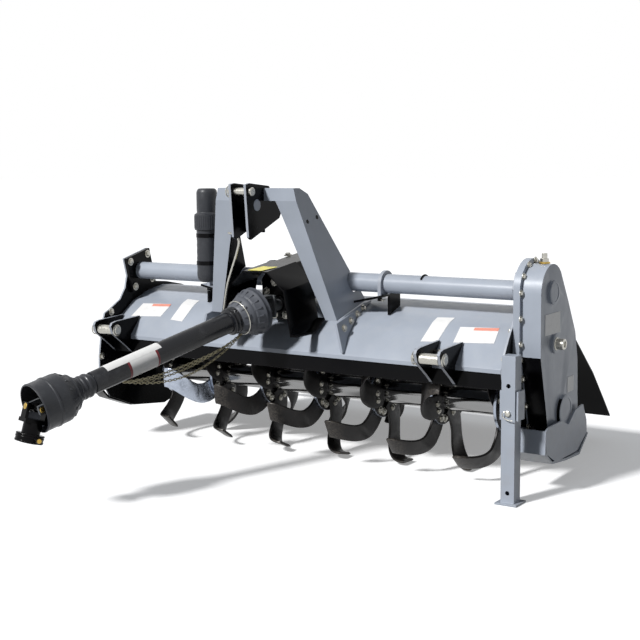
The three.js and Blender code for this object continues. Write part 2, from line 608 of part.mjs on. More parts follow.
onDrive('front_guard', turned([
  [360, SLIDE_R - GUARD_WALL], [738, SLIDE_R - GUARD_WALL], [792, frontIn - 6], [802, frontIn],
  [FRONT_BELL, frontIn], [FRONT_BELL, FRONT_BELL_R], [800, FRONT_BELL_R], [788, FRONT_BELL_R - 5],
  [742, collarOut], [FRONT_COLLAR, collarOut], [FRONT_COLLAR, SLIDE_R], [360, SLIDE_R],
]), PLASTIC);
const atFront = (y) => -FRONT_JOINT + y;
onDrive('front_shaft', union([
  tubeAlong(400, FRONT_JOINT - 48, 17, 24),
  block(-38, 38, atFront(46), atFront(58), -22, 22),
  block(-38, -28, atFront(-11), atFront(48), -14, 14),
  block(28, 38, atFront(-11), atFront(48), -14, 14),
]).subtract(pinX.translate(0, atFront(0), 0)), STEEL);
// the front yoke is made straight and then hangs down about its cross pin
onDrive('front_yoke', union([
  rod([-UJ_ARM, 0, 0], [UJ_ARM, 0, 0], UJ_R, 16),
  rod([0, 0, -UJ_ARM], [0, 0, UJ_ARM], UJ_R, 16),
  solid(new THREE.SphereGeometry(14, 12, 8)),
  block(-14, 14, -36, 12, 28, 38),
  block(-14, 14, -36, 12, -38, -28),
  block(-22, 22, -46, -34, -38, 38),
  tubeAlong(44, COUPLER_END, 28),
  tubeAlong(78, COUPLER_END - 2, COUPLER_R),
  rod([COUPLER_R - 6, -91, 0], [COUPLER_R + 16, -91, 0], 8, 12),
]).subtract(tubeAlong(52, COUPLER_END + 20, 18, 24)).rotate([DROOP, 0, 0])
  .translate(0, -FRONT_JOINT, 0), STEEL);

// ---------------------------------------------------------------- build
const machine = new THREE.Group();
for (const mesh of pieces) machine.add(mesh);
machine.add(drive);
machine.updateMatrixWorld(true);
const bounds = new THREE.Box3().setFromObject(machine, true);
const middle = bounds.getCenter(new THREE.Vector3());
machine.position.set(-middle.x, -middle.y, -bounds.min.z);
export default machine;
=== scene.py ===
# Rotavator: looks for a tractor-mounted rotary tiller parked on its stand.
import json
import math
import bmesh
import bpy
from mathutils import Matrix, Vector

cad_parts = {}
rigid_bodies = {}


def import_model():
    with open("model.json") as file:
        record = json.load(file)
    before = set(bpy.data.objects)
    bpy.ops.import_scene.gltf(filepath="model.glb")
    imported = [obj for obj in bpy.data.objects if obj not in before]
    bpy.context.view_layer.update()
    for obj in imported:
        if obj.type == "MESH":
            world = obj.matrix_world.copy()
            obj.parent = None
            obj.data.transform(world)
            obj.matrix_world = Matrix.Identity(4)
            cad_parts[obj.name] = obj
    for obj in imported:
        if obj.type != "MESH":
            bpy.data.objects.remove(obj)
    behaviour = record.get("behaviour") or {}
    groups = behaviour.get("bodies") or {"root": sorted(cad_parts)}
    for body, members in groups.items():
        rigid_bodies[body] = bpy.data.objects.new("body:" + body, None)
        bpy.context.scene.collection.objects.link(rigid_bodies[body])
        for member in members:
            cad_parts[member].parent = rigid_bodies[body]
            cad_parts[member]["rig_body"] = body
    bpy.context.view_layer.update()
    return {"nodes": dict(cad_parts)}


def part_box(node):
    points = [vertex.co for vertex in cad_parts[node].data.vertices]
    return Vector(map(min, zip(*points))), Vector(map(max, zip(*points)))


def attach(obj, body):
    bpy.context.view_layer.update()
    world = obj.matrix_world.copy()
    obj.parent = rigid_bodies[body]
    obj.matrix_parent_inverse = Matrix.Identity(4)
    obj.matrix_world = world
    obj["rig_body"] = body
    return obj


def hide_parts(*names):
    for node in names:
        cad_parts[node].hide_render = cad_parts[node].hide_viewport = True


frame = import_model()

bl_info = {
    "name": "Rotavator",
    "version": (1, 0, 0),
    "blender": (4, 5, 0),
    "location": "View3D > Sidebar > Rotavator",
    "description": "Builds the visible pieces and finishes of a rotavator around its frame",
    "category": "Object",
}

MM = 0.001
FULL_TURN = 2 * math.pi


# ------------------------------------------------------------------ places
# Machine places are in millimetres: X from the middle of the lower hitch,
# Y from the deck's front lip, Z from the ground.
def middle_x(*nodes):
    boxes = [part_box(node) for node in nodes]
    return sum((low.x + high.x) / 2 for low, high in boxes) / len(boxes)


ORIGIN = Vector((middle_x("lower_clevis_left", "lower_clevis_right"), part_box("deck")[0].y, 0.0))


def at(x, y, z):
    return ORIGIN + Vector((x, y, z)) * MM


def measured(node):
    """Low corner, high corner and middle of a node."""
    low, high = [(corner - ORIGIN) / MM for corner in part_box(node)]
    return low, high, (low + high) / 2


TUBE_Y, TUBE_Z = 168, 637  # main tube's axis
ROTOR_Y, ROTOR_Z = 267, 247  # rotor's axis
PLUG_Y, PLUG_Z = 188, 474  # big plug on the gear case
MAST_X = middle_x("gearbox") / MM - ORIGIN.x / MM
MAST_TOP_Z = 960
ARM_TOP_X = 156
ARM_LEAN = 0.2447


def arm_face(side, z, out=0.0):
    """X of the outer face of a mast arm at height z."""
    return MAST_X + side * (ARM_TOP_X + ARM_LEAN * (MAST_TOP_Z - z) + out)


JOINT = Vector((MAST_X, -38, 556))
FRONT_JOINT = 885
SWING = Matrix.Rotation(-math.radians(16.1), 4, "Z")
DRIVE = SWING @ Matrix.Rotation(math.radians(15), 4, "X")
DROOP = Matrix.Rotation(math.radians(58), 4, "X")


def on_drive(forward, side=0.0, up=0.0):
    """Place beside the driveline, counted forward from its rear joint."""
    return at(*(JOINT + (DRIVE @ Vector((side, -forward, up)))))


DRIVE_START = on_drive(0)
DRIVE_WAY = (on_drive(1.0) - DRIVE_START).normalized()
DECK_FRONT = [(0, 410), (46, 464), (130, 523), (220, 556)]


def deck_height(y):
    """Height of the deck's front slope, over its folds (y, z)."""
    for (y0, z0), (y1, z1) in zip(DECK_FRONT, DECK_FRONT[1:]):
        if y <= y1:
            return z0 + (z1 - z0) * (y - y0) / (y1 - y0)
    raise ValueError("the deck's front slope ends before this place")


# ------------------------------------------------------------------ settings
def srgb(red, green, blue):
    def channel(value):
        value = value / 255
        return value / 12.92 if value <= 0.04045 else ((value + 0.055) / 1.055) ** 2.4

    return (channel(red), channel(green), channel(blue), 1.0)


def size_of(name, text, value):
    return bpy.props.FloatProperty(
        name=name, description=text, default=value, min=0.0, unit="LENGTH", subtype="DISTANCE", precision=4)


def colour_of(name, text, *value):
    return bpy.props.FloatVectorProperty(
        name=name, description=text, default=srgb(*value), size=4, min=0.0, max=1.0, subtype="COLOR")


class RotavatorSizes(bpy.types.PropertyGroup):
    plate_bevel: size_of("Plate edge", "Rounding on the edges of cut and folded plate", 0.0014)
    bolt_radius: size_of("Bolt head", "Radius of a hexagon head", 0.0095)
    bolt_height: size_of("Bolt height", "Height of a hexagon head", 0.007)
    washer_radius: size_of("Washer", "Radius of a flat washer", 0.014)
    washer_height: size_of("Washer thickness", "Thickness of a flat washer", 0.002)
    blade_thickness: size_of("Blade", "Thickness of a rotor blade", 0.009)
    blade_width: size_of("Blade width", "Width of a rotor blade at its shank", 0.084)
    link_wire: size_of("Chain wire", "Wire radius of the guard's retaining chain", 0.0013)
    link_pitch: size_of("Chain pitch", "Distance from link to link", 0.010)
    label_thickness: size_of("Label", "Thickness of a blank adhesive label", 0.0006)


class RotavatorColours(bpy.types.PropertyGroup):
    grey: colour_of("Grey paint", "Blue-grey enamel on the housing and mast", 160, 167, 178)
    black: colour_of("Black paint", "Gloss black enamel", 9, 9, 11)
    # Pale edge colour: painted highlight on the front and top edges of black plates that face the key light,
    # and the real pale grey of the tube clamps' straps
    cut_edge: colour_of("Cut edge", "Pale rubbed edge of a cut plate", 158, 163, 172)
    cast: colour_of("Cast steel", "Grey of the bare cast joints", 92, 95, 98)
    zinc: colour_of("Zinc", "Plated fasteners and pins", 186, 184, 176)
    brass: colour_of("Brass", "Yellow-plated rings and caps", 190, 160, 84)
    chain: colour_of("Chain", "Yellow-passivated chain", 120, 114, 92)
    # Also the hub rims' colour, where the bright steel is painted reflection
    polished: colour_of("Polished blade", "Steel scoured bright by soil", 176, 184, 198)
    blade: colour_of("Blade steel", "Lacquered spring steel", 30, 28, 28)
    worn: colour_of("Worn steel", "Bare steel where the lacquer has gone", 152, 143, 132)
    plastic: colour_of("Guard plastic", "Moulded black plastic", 47, 49, 54)
    guard_tube: colour_of("Guard tube", "Smooth dark plastic tube", 15, 17, 23)
    guard_bell: colour_of("Rear guard cone", "Sun-bleached plastic cone", 84, 87, 94)
    label: colour_of("Label", "Blank white label stock", 234, 233, 231)
    label_red: colour_of("Label stripe", "Dark red stripe on a label", 112, 22, 34)
    label_pale: colour_of("Label header", "Pale red header on a label", 226, 150, 132)
    label_yellow: colour_of("Yellow label", "Blank yellow label stock", 238, 226, 96)
    floor: colour_of("Floor", "Pale studio floor", 247, 247, 247)


def sizes():
    return bpy.context.scene.rotavator_sizes


def colours():
    return bpy.context.scene.rotavator_colours


# ------------------------------------------------------------------ nodes and materials
def plug(tree, kind, inputs=None, **settings):
    """New node with its settings; an input is a value, a socket or a list of sockets."""
    node = tree.nodes.new(kind)
    for key, value in settings.items():
        setattr(node, key, value)
    for key, value in (inputs or {}).items():
        for one in value if isinstance(value, list) else [value]:
            if isinstance(one, bpy.types.NodeSocket):
                tree.links.new(one, node.inputs[key])
            else:
                node.inputs[key].default_value = one
    return node


def seen(tree):
    """1 where a ray shows a surface to the eye, straight or mirrored, and 0 where it only carries light."""
    path = plug(tree, "ShaderNodeLightPath").outputs
    inputs = {0: path["Is Camera Ray"], 1: path["Is Glossy Ray"]}
    mirrored = plug(tree, "ShaderNodeMath", inputs, operation="MAXIMUM").outputs[0]
    inputs = {0: mirrored, 1: path["Is Transmission Ray"]}
    return plug(tree, "ShaderNodeMath", inputs, operation="MAXIMUM").outputs[0]


class Coating:
    """One material, with short ways to add and link its shader nodes."""

    def __init__(self, name):
        self.material = bpy.data.materials.new(name)
        self.material.use_nodes = True
        self.tree = self.material.node_tree
        self.shader = self.tree.nodes["Principled BSDF"]

    def add(self, kind, inputs=None, **settings):
        return plug(self.tree, kind, inputs, **settings).outputs

    def link(self, output, key):
        self.tree.links.new(output, self.shader.inputs[key])

    def place(self):
        return self.add("ShaderNodeTexCoord")["Object"]

    def part(self, vector, axis):
        return self.add("ShaderNodeSeparateXYZ", {0: vector})[axis]

    def noise(self, scale, detail=4.0, rough=0.55):
        inputs = {"Scale": scale, "Detail": detail, "Roughness": rough, "Vector": self.place()}
        return self.add("ShaderNodeTexNoise", inputs)["Fac"]

    def ramp(self, value, low, high, to_low=0.0, to_high=1.0):
        inputs = {"Value": value, "From Min": low, "From Max": high, "To Min": to_low, "To Max": to_high}
        return self.add("ShaderNodeMapRange", inputs)["Result"]

    def math(self, operation, first, second=0.0):
        return self.add("ShaderNodeMath", {0: first, 1: second}, operation=operation)[0]

    def times(self, first, second):
        return self.math("MULTIPLY", first, second)

    def mix(self, factor, first, second):
        return self.add("ShaderNodeMix", {0: factor, 6: first, 7: second}, data_type="RGBA")[2]

    def bump(self, height, strength, distance):
        inputs = {"Height": height, "Strength": strength, "Distance": distance}
        self.link(self.add("ShaderNodeBump", inputs)["Normal"], "Normal")

    def set(self, **values):
        for key, value in values.items():
            self.shader.inputs[key.replace("_", " ").title().replace("Ior", "IOR")].default_value = value


def shade(colour, factor=1.0):
    return (colour[0] * factor, colour[1] * factor, colour[2] * factor, 1.0)


DUST = srgb(186, 180, 168)
GRIME = srgb(128, 112, 92)
RUST = srgb(56, 50, 46)
SCUFF = srgb(74, 76, 80)


def enamel(name, colour, roughness, specular, dust=0.10, **more):
    """Sprayed enamel: faint mottling, orange peel, dust on what faces up and grime low down."""
    make = Coating(name)
    mottle = make.mix(make.ramp(make.noise(7.0), 0.35, 0.7), shade(colour, 0.94), shade(colour, 1.05))
    upward = make.part(make.add("ShaderNodeNewGeometry")["Normal"], "Z")
    patchy = make.ramp(make.noise(28.0, 6.0), 0.42, 0.72)
    lying = make.times(make.ramp(upward, 0.2, 0.95, 0.0, dust), patchy)
    dusty = make.mix(lying, mottle, DUST)
    low = make.times(make.ramp(make.part(make.place(), "Z"), 0.42, 0.05, 0.0, dust * 1.6), patchy)
    make.link(make.mix(low, dusty, GRIME), "Base Color")
    make.link(make.ramp(make.noise(45.0, 5.0), 0.3, 0.75, roughness * 0.85, roughness * 1.25), "Roughness")
    make.bump(make.noise(420.0, 2.0), 0.10, 0.0006)
    make.set(specular_ior_level=specular, **more)
    return make.material


def plated(name, colour, roughness=0.32):
    """Zinc plating with a little white bloom."""
    make = Coating(name)
    bloom = make.ramp(make.noise(90.0, 5.0), 0.45, 0.75)
    make.link(make.mix(bloom, shade(colour, 0.9), shade(colour, 1.08)), "Base Color")
    make.link(make.ramp(bloom, 0.0, 1.0, roughness * 0.8, roughness * 1.5), "Roughness")
    make.bump(make.noise(600.0, 2.0), 0.12, 0.0004)
    make.set(metallic=0.92)
    return make.material


def blade_steel(name, colour):
    """Dark lacquer on spring steel, scoured and brown towards the tips."""
    make = Coating(name)
    low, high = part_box("rotor_tube")
    axis = (low + high) / 2
    across = make.math("SUBTRACT", make.part(make.place(), "Y"), axis.y)
    up = make.math("SUBTRACT", make.part(make.place(), "Z"), axis.z)
    radius = make.math("SQRT", make.math("ADD", make.times(across, across), make.times(up, up)))
    scuff = make.noise(38.0, 7.0, 0.65)
    streak = make.noise(160.0, 4.0, 0.6)
    tip = make.ramp(make.math("ADD", radius, make.times(scuff, 0.04)), 0.245, 0.28)
    rubbed = make.times(tip, make.ramp(streak, 0.35, 0.62))
    rust = make.ramp(make.noise(22.0, 6.0), 0.5, 0.8, 0.0, 0.4)
    lacquer = make.mix(rust, shade(colour, 0.8), RUST)
    make.link(make.mix(make.times(rubbed, 0.35), lacquer, shade(colours().worn)), "Base Color")
    make.link(make.ramp(scuff, 0.3, 0.75, 0.26, 0.5), "Roughness")
    make.bump(streak, 0.14, 0.0005)
    make.set(metallic=0.35, specular_ior_level=0.35)
    return make.material


def moulded(name, colour, roughness=0.42):
    """Moulded plastic, scuffed paler in patches."""
    make = Coating(name)
    scuff = make.ramp(make.noise(16.0, 8.0, 0.7), 0.52, 0.78, 0.0, 0.5)
    make.link(make.mix(scuff, shade(colour, 0.9), SCUFF), "Base Color")
    make.link(make.ramp(make.noise(60.0, 4.0), 0.3, 0.7, roughness * 0.75, roughness * 1.3), "Roughness")
    make.bump(make.noise(900.0, 2.0), 0.10, 0.0004)
    make.set(specular_ior_level=0.35)
    return make.material


def printed(name, colour):
    """Blank label stock, a little dirty."""
    make = Coating(name)
    grime = make.ramp(make.noise(55.0, 6.0), 0.5, 0.8, 0.0, 0.35)
    make.link(make.mix(grime, shade(colour), shade(colour, 0.7)), "Base Color")
    make.bump(make.noise(300.0, 2.0), 0.08, 0.0004)
    make.set(roughness=0.35, specular_ior_level=0.4)
    return make.material


LACQUER = dict(coat_weight=0.8, coat_roughness=0.12, ior=2.1)
# Finish: its slot, its maker, its material's name, its colour and what else the maker is told.
FINISHES = {
    "grey": ("grey_paint", enamel, "grey_enamel", "grey", dict(roughness=0.34, specular=0.45)),
    "black": ("black_paint", enamel, "black_enamel", "black", dict(roughness=0.2, specular=0.08, dust=0.01)),
    "gloss": ("black_paint", enamel, "rotor_enamel", "black",
              dict(roughness=0.1, specular=0.9, dust=0.02, **LACQUER)),
    # Pale edge finish: painted highlight on plate edges facing the key light, and real pale grey paint on the
    # clamp straps
    "edge": ("black_paint", enamel, "cut_edge", "cut_edge", dict(roughness=0.4, specular=0.4, dust=0.05)),
    "steel": ("zinc", enamel, "cast_grey", "cast", dict(roughness=0.5, specular=0.4)),
    "zinc": ("zinc", plated, "zinc_plating", "zinc", {}),
    "brass": ("zinc", plated, "brass_ring", "brass", {}),
    "chain": ("zinc", plated, "passivated_chain", "chain", dict(roughness=0.4)),
    # Hub rims: bright polished steel as painted reflection of the bright surroundings on the rims
    "rim": ("tine_steel", plated, "rubbed_rim", "polished", dict(roughness=0.3)),
    "polished": ("tine_steel", plated, "scoured_steel", "polished", dict(roughness=0.24)),
    "blade": ("tine_steel", blade_steel, "spring_steel", "blade", {}),
    "plastic": ("black_plastic", moulded, "moulded_plastic", "plastic", {}),
    "guard_tube": ("black_plastic", moulded, "guard_tube", "guard_tube", dict(roughness=0.22)),
    "guard_bell": ("black_plastic", moulded, "guard_bell", "guard_bell", dict(roughness=0.5)),
    "label": ("grey_paint", printed, "blank_label", "label", {}),
    "label_red": ("grey_paint", printed, "red_stripe", "label_red", {}),
    "label_pale": ("grey_paint", printed, "pale_header", "label_pale", {}),
    "label_yellow": ("black_paint", printed, "yellow_label", "label_yellow", {}),
}
MATERIALS = {}


def material_of(finish):
    """Material of a finish, made when it is first asked for."""
    if finish not in MATERIALS:
        _, maker, name, colour, settings = FINISHES[finish]
        MATERIALS[finish] = maker(name, getattr(colours(), colour), **settings)
    return MATERIALS[finish]


# ------------------------------------------------------------------ mesh makers
def finish_object(name, mesh, finishes, body, replaced=(), bevel=0.0, segments=2, angle=32.0):
    """Object at the origin with its materials, rounding and body."""
    if isinstance(finishes, str):
        finishes = (finishes,)
    if mesh.materials:
        mesh.materials.clear()
    for finish in finishes:
        mesh.materials.append(material_of(finish))
    mesh.shade_smooth()
    mesh.set_sharp_from_angle(angle=math.radians(angle))
    piece = bpy.data.objects.new(name, mesh)
    bpy.context.scene.collection.objects.link(piece)
    if bevel > 0:
        rounding = piece.modifiers.new("Rounded edges", "BEVEL")
        rounding.width = bevel
        rounding.segments = segments
        rounding.limit_method = "ANGLE"
        rounding.angle_limit = math.radians(angle)
        rounding.harden_normals = True
        rounding.use_clamp_overlap = True
    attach(piece, body)
    if replaced:
        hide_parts(*replaced)


def mesh_from(work, name):
    mesh = bpy.data.meshes.new(name)
    work.to_mesh(mesh)
    work.free()
    return mesh


def finish_work(name, work, finishes, body="frame", replaced=(), **rounding):
    """Object from a worked mesh, with its faces turned outwards first."""
    bmesh.ops.recalc_face_normals(work, faces=work.faces)
    finish_object(name, mesh_from(work, name), finishes, body, replaced, **rounding)


def refined(node, finishes, bevel=None, angle=32.0, second=None):
    """Merged copy of a node, its flat faces whole again and its edges rounded, in the node's place.

    Faces for which second is true get the second of two finishes.
    """
    work = bmesh.new()
    work.from_mesh(frame["nodes"][node].data)
    bmesh.ops.remove_doubles(work, verts=work.verts, dist=2e-5)
    bmesh.ops.dissolve_limit(work, angle_limit=math.radians(0.6), verts=work.verts, edges=work.edges)
    if second:
        work.normal_update()
        for face in work.faces:
            face.material_index = 1 if second(face) else 0
    name = node + "_made"
    body = frame["nodes"][node]["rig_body"]
    width = sizes().plate_bevel if bevel is None else bevel
    finish_object(name, mesh_from(work, name), finishes, body, (node,), width, angle=angle)


def front_edge(face):
    """Narrow face on the front or top edge of an upright plate, turned towards the key light; the pale finish
    these faces get is painted highlight.
    """
    across = [vertex.co.x for vertex in face.verts]
    narrow = max(across) - min(across) < 0.016
    return narrow and abs(face.normal.x) < 0.35 and (face.normal.y < -0.5 or face.normal.z > 0.8)


def loft(work, rings, loop=False, index=0):
    """Skin through rings of equal count, with flat ends, or joined from the last ring to the first."""
    made = [[work.verts.new(point) for point in ring] for ring in rings]
    count = len(made[0])
    faces = []
    for first, second in list(zip(made, made[1:])) + ([(made[-1], made[0])] if loop else []):
        for i in range(count):
            j = (i + 1) % count
            faces.append((first[i], first[j], second[j], second[i]))
    if not loop:
        faces += [list(reversed(made[0])), made[-1]]
    for face in faces:
        work.faces.new(face).material_index = index


def basis(direction):
    axis = Vector(direction).normalized()
    side = axis.orthogonal().normalized()
    return side, axis.cross(side), axis


def circle(centre, side, up, radius, count):
    """Points around a centre in metres; radius in millimetres."""
    turns = [FULL_TURN * number / count for number in range(count)]
    return [centre + (side * math.cos(turn) + up * math.sin(turn)) * radius * MM for turn in turns]


def turned(work, start, direction, outline, sides=48, index=0):
    """Turned body: (along, radius) pairs in millimetres, closed on itself or by flat ends."""
    side, up, axis = basis(direction)
    rings = [circle(start + axis * along * MM, side, up, max(radius, 0.01), sides)
             for along, radius in outline]
    closed = outline[0] == outline[-1]
    loft(work, rings[:-1] if closed else rings, closed, index)


def band(work, start, direction, low, high, inner, outer, sides=72, index=0):
    """Plain ring from low to high along a direction."""
    outline = [(low, inner), (low, outer), (high, outer), (high, inner), (low, inner)]
    turned(work, start, direction, outline, sides, index)


def pipe(work, points, radius, sides=12, closed=False):
    """Round bar along points in metres; radius in millimetres."""
    rings = []
    last = len(points) - 1
    side = None
    for i, point in enumerate(points):
        before = points[i - 1] if closed else points[max(i - 1, 0)]
        after = points[(i + 1) % (last + 1)] if closed else points[min(i + 1, last)]
        tangent = (after - before).normalized()
        side = tangent.orthogonal() if side is None else side - tangent * side.dot(tangent)
        side = side.normalized()
        rings.append(circle(point, side, tangent.cross(side), radius, sides))
    loft(work, rings, closed)


def curve_through(points, steps):
    """Smooth line through given points."""
    line = []
    spaced = [points[0]] + list(points) + [points[-1]]
    for i in range(1, len(spaced) - 2):
        a, b, c, d = spaced[i - 1:i + 3]
        for k in range(steps):
            t = k / steps
            line.append(0.5 * ((2 * b) + (c - a) * t + (2 * a - 5 * b + 4 * c - d) * t * t
                               + (3 * b - a - 3 * c + d) * t * t * t))
    line.append(points[-1])
    return line


# ------------------------------------------------------------------ node-made repeats
def repeat_tree(name, inputs, build):
    """Node tree with named sizes and a material; build makes the repeats with add and calc."""
    tree = bpy.data.node_groups.get(name)
    if tree:
        return tree
    tree = bpy.data.node_groups.new(name, "GeometryNodeTree")
    tree.is_modifier = True
    sockets = {}

    def socket(label, kind, way="INPUT"):
        made = tree.interface.new_socket(label, in_out=way, socket_type="NodeSocket" + kind)
        sockets[label] = made.identifier
        return made

    def add(kind, inputs=None, **settings):
        return plug(tree, kind, inputs, **settings).outputs

    def calc(operation, first, second):
        return add("ShaderNodeMath", {0: first, 1: second}, operation=operation)[0]

    socket("Geometry", "Geometry")
    for label, default in inputs.items():
        socket(label, "Int" if isinstance(default, int) else "Float").default_value = default
    socket("Material", "Material")
    tree["sockets"] = dict(sockets)
    socket("Geometry", "Geometry", "OUTPUT")
    given = add("NodeGroupInput")
    real = add("GeometryNodeRealizeInstances", {"Geometry": build(add, calc, given)})[0]
    painted = add("GeometryNodeSetMaterial", {"Geometry": real, "Material": given["Material"]})[0]
    plug(tree, "NodeGroupOutput", {0: painted})
    return tree


def bolt_heads(add, calc, given):
    """Hexagon head with a chamfer and washer on every point, facing its stored direction."""
    head, washer, radius = given["Head Height"], given["Washer Height"], given["Head Radius"]

    def raised(kind, inputs, height):
        mesh = add("GeometryNodeMesh" + kind, inputs)["Mesh"]
        offset = add("ShaderNodeCombineXYZ", {"Z": height})[0]
        return add("GeometryNodeTransform", {"Geometry": mesh, "Translation": offset})[0]

    shank = {"Vertices": given["Sides"], "Radius": radius, "Depth": calc("MULTIPLY", head, 0.72)}
    chamfer = {"Vertices": given["Sides"], "Radius Bottom": radius,
               "Radius Top": calc("MULTIPLY", radius, 0.72), "Depth": calc("MULTIPLY", head, 0.28)}
    disc = {"Vertices": 20, "Radius": given["Washer Radius"], "Depth": washer}
    parts = add("GeometryNodeJoinGeometry", {"Geometry": [
        raised("Cylinder", shank, calc("ADD", washer, calc("MULTIPLY", head, 0.36))),
        raised("Cone", chamfer, calc("ADD", washer, calc("MULTIPLY", head, 0.72))),
        raised("Cylinder", disc, calc("MULTIPLY", washer, 0.5))]})[0]
    facing = add("GeometryNodeInputNamedAttribute", {"Name": "facing"}, data_type="FLOAT_VECTOR")[0]
    factor = add("GeometryNodeInputNamedAttribute", {"Name": "factor"}, data_type="FLOAT")[0]
    turn = add("FunctionNodeAlignRotationToVector", {"Vector": facing}, axis="Z")[0]
    points = add("GeometryNodeMeshToPoints", {"Mesh": given["Geometry"]})[0]
    return add("GeometryNodeInstanceOnPoints", {
        "Points": points, "Instance": parts, "Rotation": turn, "Scale": factor})[0]


def chain_links(add, calc, given):
    """Oval links along a line, each turned a quarter past the last."""
    pitch = given["Pitch"]
    along = add("GeometryNodeMeshToCurve", {"Mesh": given["Geometry"]})[0]
    points = add("GeometryNodeCurveToPoints", {"Curve": along, "Length": pitch}, mode="LENGTH")
    oval = add("GeometryNodeCurvePrimitiveCircle", {"Resolution": 14, "Radius": 1.0})[0]
    stretch = {"X": calc("MULTIPLY", pitch, 0.36), "Y": calc("MULTIPLY", pitch, 0.66), "Z": 1.0}
    stretch = add("ShaderNodeCombineXYZ", stretch)[0]
    oval = add("GeometryNodeTransform", {"Geometry": oval, "Scale": stretch})[0]
    oval = add("GeometryNodeTransform", {"Geometry": oval, "Rotation": (math.pi / 2, 0, 0)})[0]
    wire = add("GeometryNodeCurvePrimitiveCircle", {"Resolution": 6, "Radius": given["Wire Radius"]})[0]
    link = add("GeometryNodeCurveToMesh", {"Curve": oval, "Profile Curve": wire})[0]
    parity = calc("MODULO", add("GeometryNodeInputIndex")[0], 2.0)
    quarter = {"Axis": (0, 0, 1), "Angle": calc("MULTIPLY", parity, math.pi / 2)}
    twist = add("FunctionNodeAxisAngleToRotation", quarter)[0]
    turn = add("FunctionNodeRotateRotation", {
        "Rotation": points["Rotation"], "Rotate By": twist}, rotation_space="LOCAL")[0]
    return add("GeometryNodeInstanceOnPoints", {
        "Points": points["Points"], "Instance": link, "Rotation": turn})[0]


def grown(name, seed_mesh, repeat, build, values, finish, body, angle=32.0):
    """Plain mesh from a node tree run on a seed mesh."""
    tree = repeat_tree(repeat, values, build)
    seed = bpy.data.objects.new(name + "_seed", seed_mesh)
    bpy.context.scene.collection.objects.link(seed)
    modifier = seed.modifiers.new("Repeat", "NODES")
    modifier.node_group = tree
    for label, value in values.items():
        modifier[tree["sockets"][label]] = value
    modifier[tree["sockets"]["Material"]] = material_of(finish)
    bpy.context.view_layer.update()
    ready = seed.evaluated_get(bpy.context.evaluated_depsgraph_get())
    mesh = bpy.data.meshes.new_from_object(ready)
    bpy.data.objects.remove(seed)
    bpy.data.meshes.remove(seed_mesh)
    if not mesh.polygons:
        raise RuntimeError(name + " came out empty")
    work = bmesh.new()
    work.from_mesh(mesh)
    bmesh.ops.remove_doubles(work, verts=work.verts, dist=1e-6)
    bmesh.ops.recalc_face_normals(work, faces=work.faces)
    work.to_mesh(mesh)
    work.free()
    mesh.name = name
    finish_object(name, mesh, finish, body, angle=angle)


def fasteners(name, places, body="frame", sides=6):
    """Bolt heads at (place, facing, factor) in metres."""
    mesh = bpy.data.meshes.new(name + "_points")
    mesh.from_pydata([place for place, _, _ in places], [], [])
    mesh.attributes.new("facing", "FLOAT_VECTOR", "POINT")
    mesh.attributes.new("factor", "FLOAT", "POINT")
    for i, (_, direction, factor) in enumerate(places):
        mesh.attributes["facing"].data[i].vector = Vector(direction).normalized()
        mesh.attributes["factor"].data[i].value = factor
    given = sizes()
    values = {"Head Radius": given.bolt_radius, "Head Height": given.bolt_height,
              "Washer Radius": given.washer_radius, "Washer Height": given.washer_height, "Sides": sides}
    grown(name, mesh, "Fasteners", bolt_heads, values, "zinc", body)


def bolt_circle(centre, facing, radius, count, start, factor):
    """Places of bolts evenly around a centre, facing along X or along Y."""
    places = []
    for number in range(count):
        turn = start + FULL_TURN * number / count
        across, up = radius * math.cos(turn), radius * math.sin(turn)
        x, y, z = centre
        spot = (x, y + across, z + up) if facing[0] else (x + across, y, z + up)
        places.append((at(*spot), facing, factor))
    return places


def chain(name, line, body):
    mesh = bpy.data.meshes.new(name + "_line")
    mesh.from_pydata(line, [(i, i + 1) for i in range(len(line) - 1)], [])
    values = {"Wire Radius": sizes().link_wire, "Pitch": sizes().link_pitch}
    grown(name, mesh, "Chain links", chain_links, values, "chain", body, angle=60.0)


# ------------------------------------------------------------------ small shared pieces
def deck_label(work, corners, lift=0.6, steps=10):
    """Corners (x, y) near left, near right, far right, far left, laid on the deck's folds."""
    near_left, near_right, far_right, far_left = [Vector(corner) for corner in corners]
    thick = Vector((0, 0, sizes().label_thickness))
    rings = []
    for i in range(steps + 1):
        left, right = near_left.lerp(far_left, i / steps), near_right.lerp(far_right, i / steps)
        left, right = [at(x, y, deck_height(y) + lift) for x, y in (left, right)]
        rings.append([left, right, right + thick, left + thick])
    loft(work, rings)


def flat_label(work, corners, outward):
    normal = Vector(outward).normalized()
    under = [corner + normal * 0.0005 for corner in corners]
    loft(work, [under, [corner + normal * sizes().label_thickness for corner in under]])


def ribs(work, place, rings, count, phase=0.0):
    """Ribs evenly around a body: rings of (along, (out, sideways) corners), put in place by a function."""
    for number in range(count):
        turn = phase + FULL_TURN * number / count
        cos, sin = math.cos(turn), math.sin(turn)
        loft(work, [[place(along, out * cos - wide * sin, out * sin + wide * cos) for out, wide in corners]
                    for along, corners in rings])


def linchpin(work, centre, along, hang, length, ring):
    """Spring pin through a hitch pin's end: a stem along one way and its ring hanging past the end."""
    stem, end = Vector(along).normalized(), Vector(hang).normalized()
    turned(work, centre - stem * length * 0.5 * MM, stem, [
        (0, 3.5), (2, 4.5), (length - 8, 4.5), (length - 8, 8.0), (length + 4, 8.0), (length + 6, 6.5)], 16)
    side, up, _ = basis(end)
    pipe(work, circle(centre + end * 5 * MM, side, up, ring, 36), 1.9, 8, closed=True)


# ------------------------------------------------------------------ operators
class RotavatorStep(bpy.types.Operator):
    bl_options = {"REGISTER", "UNDO"}


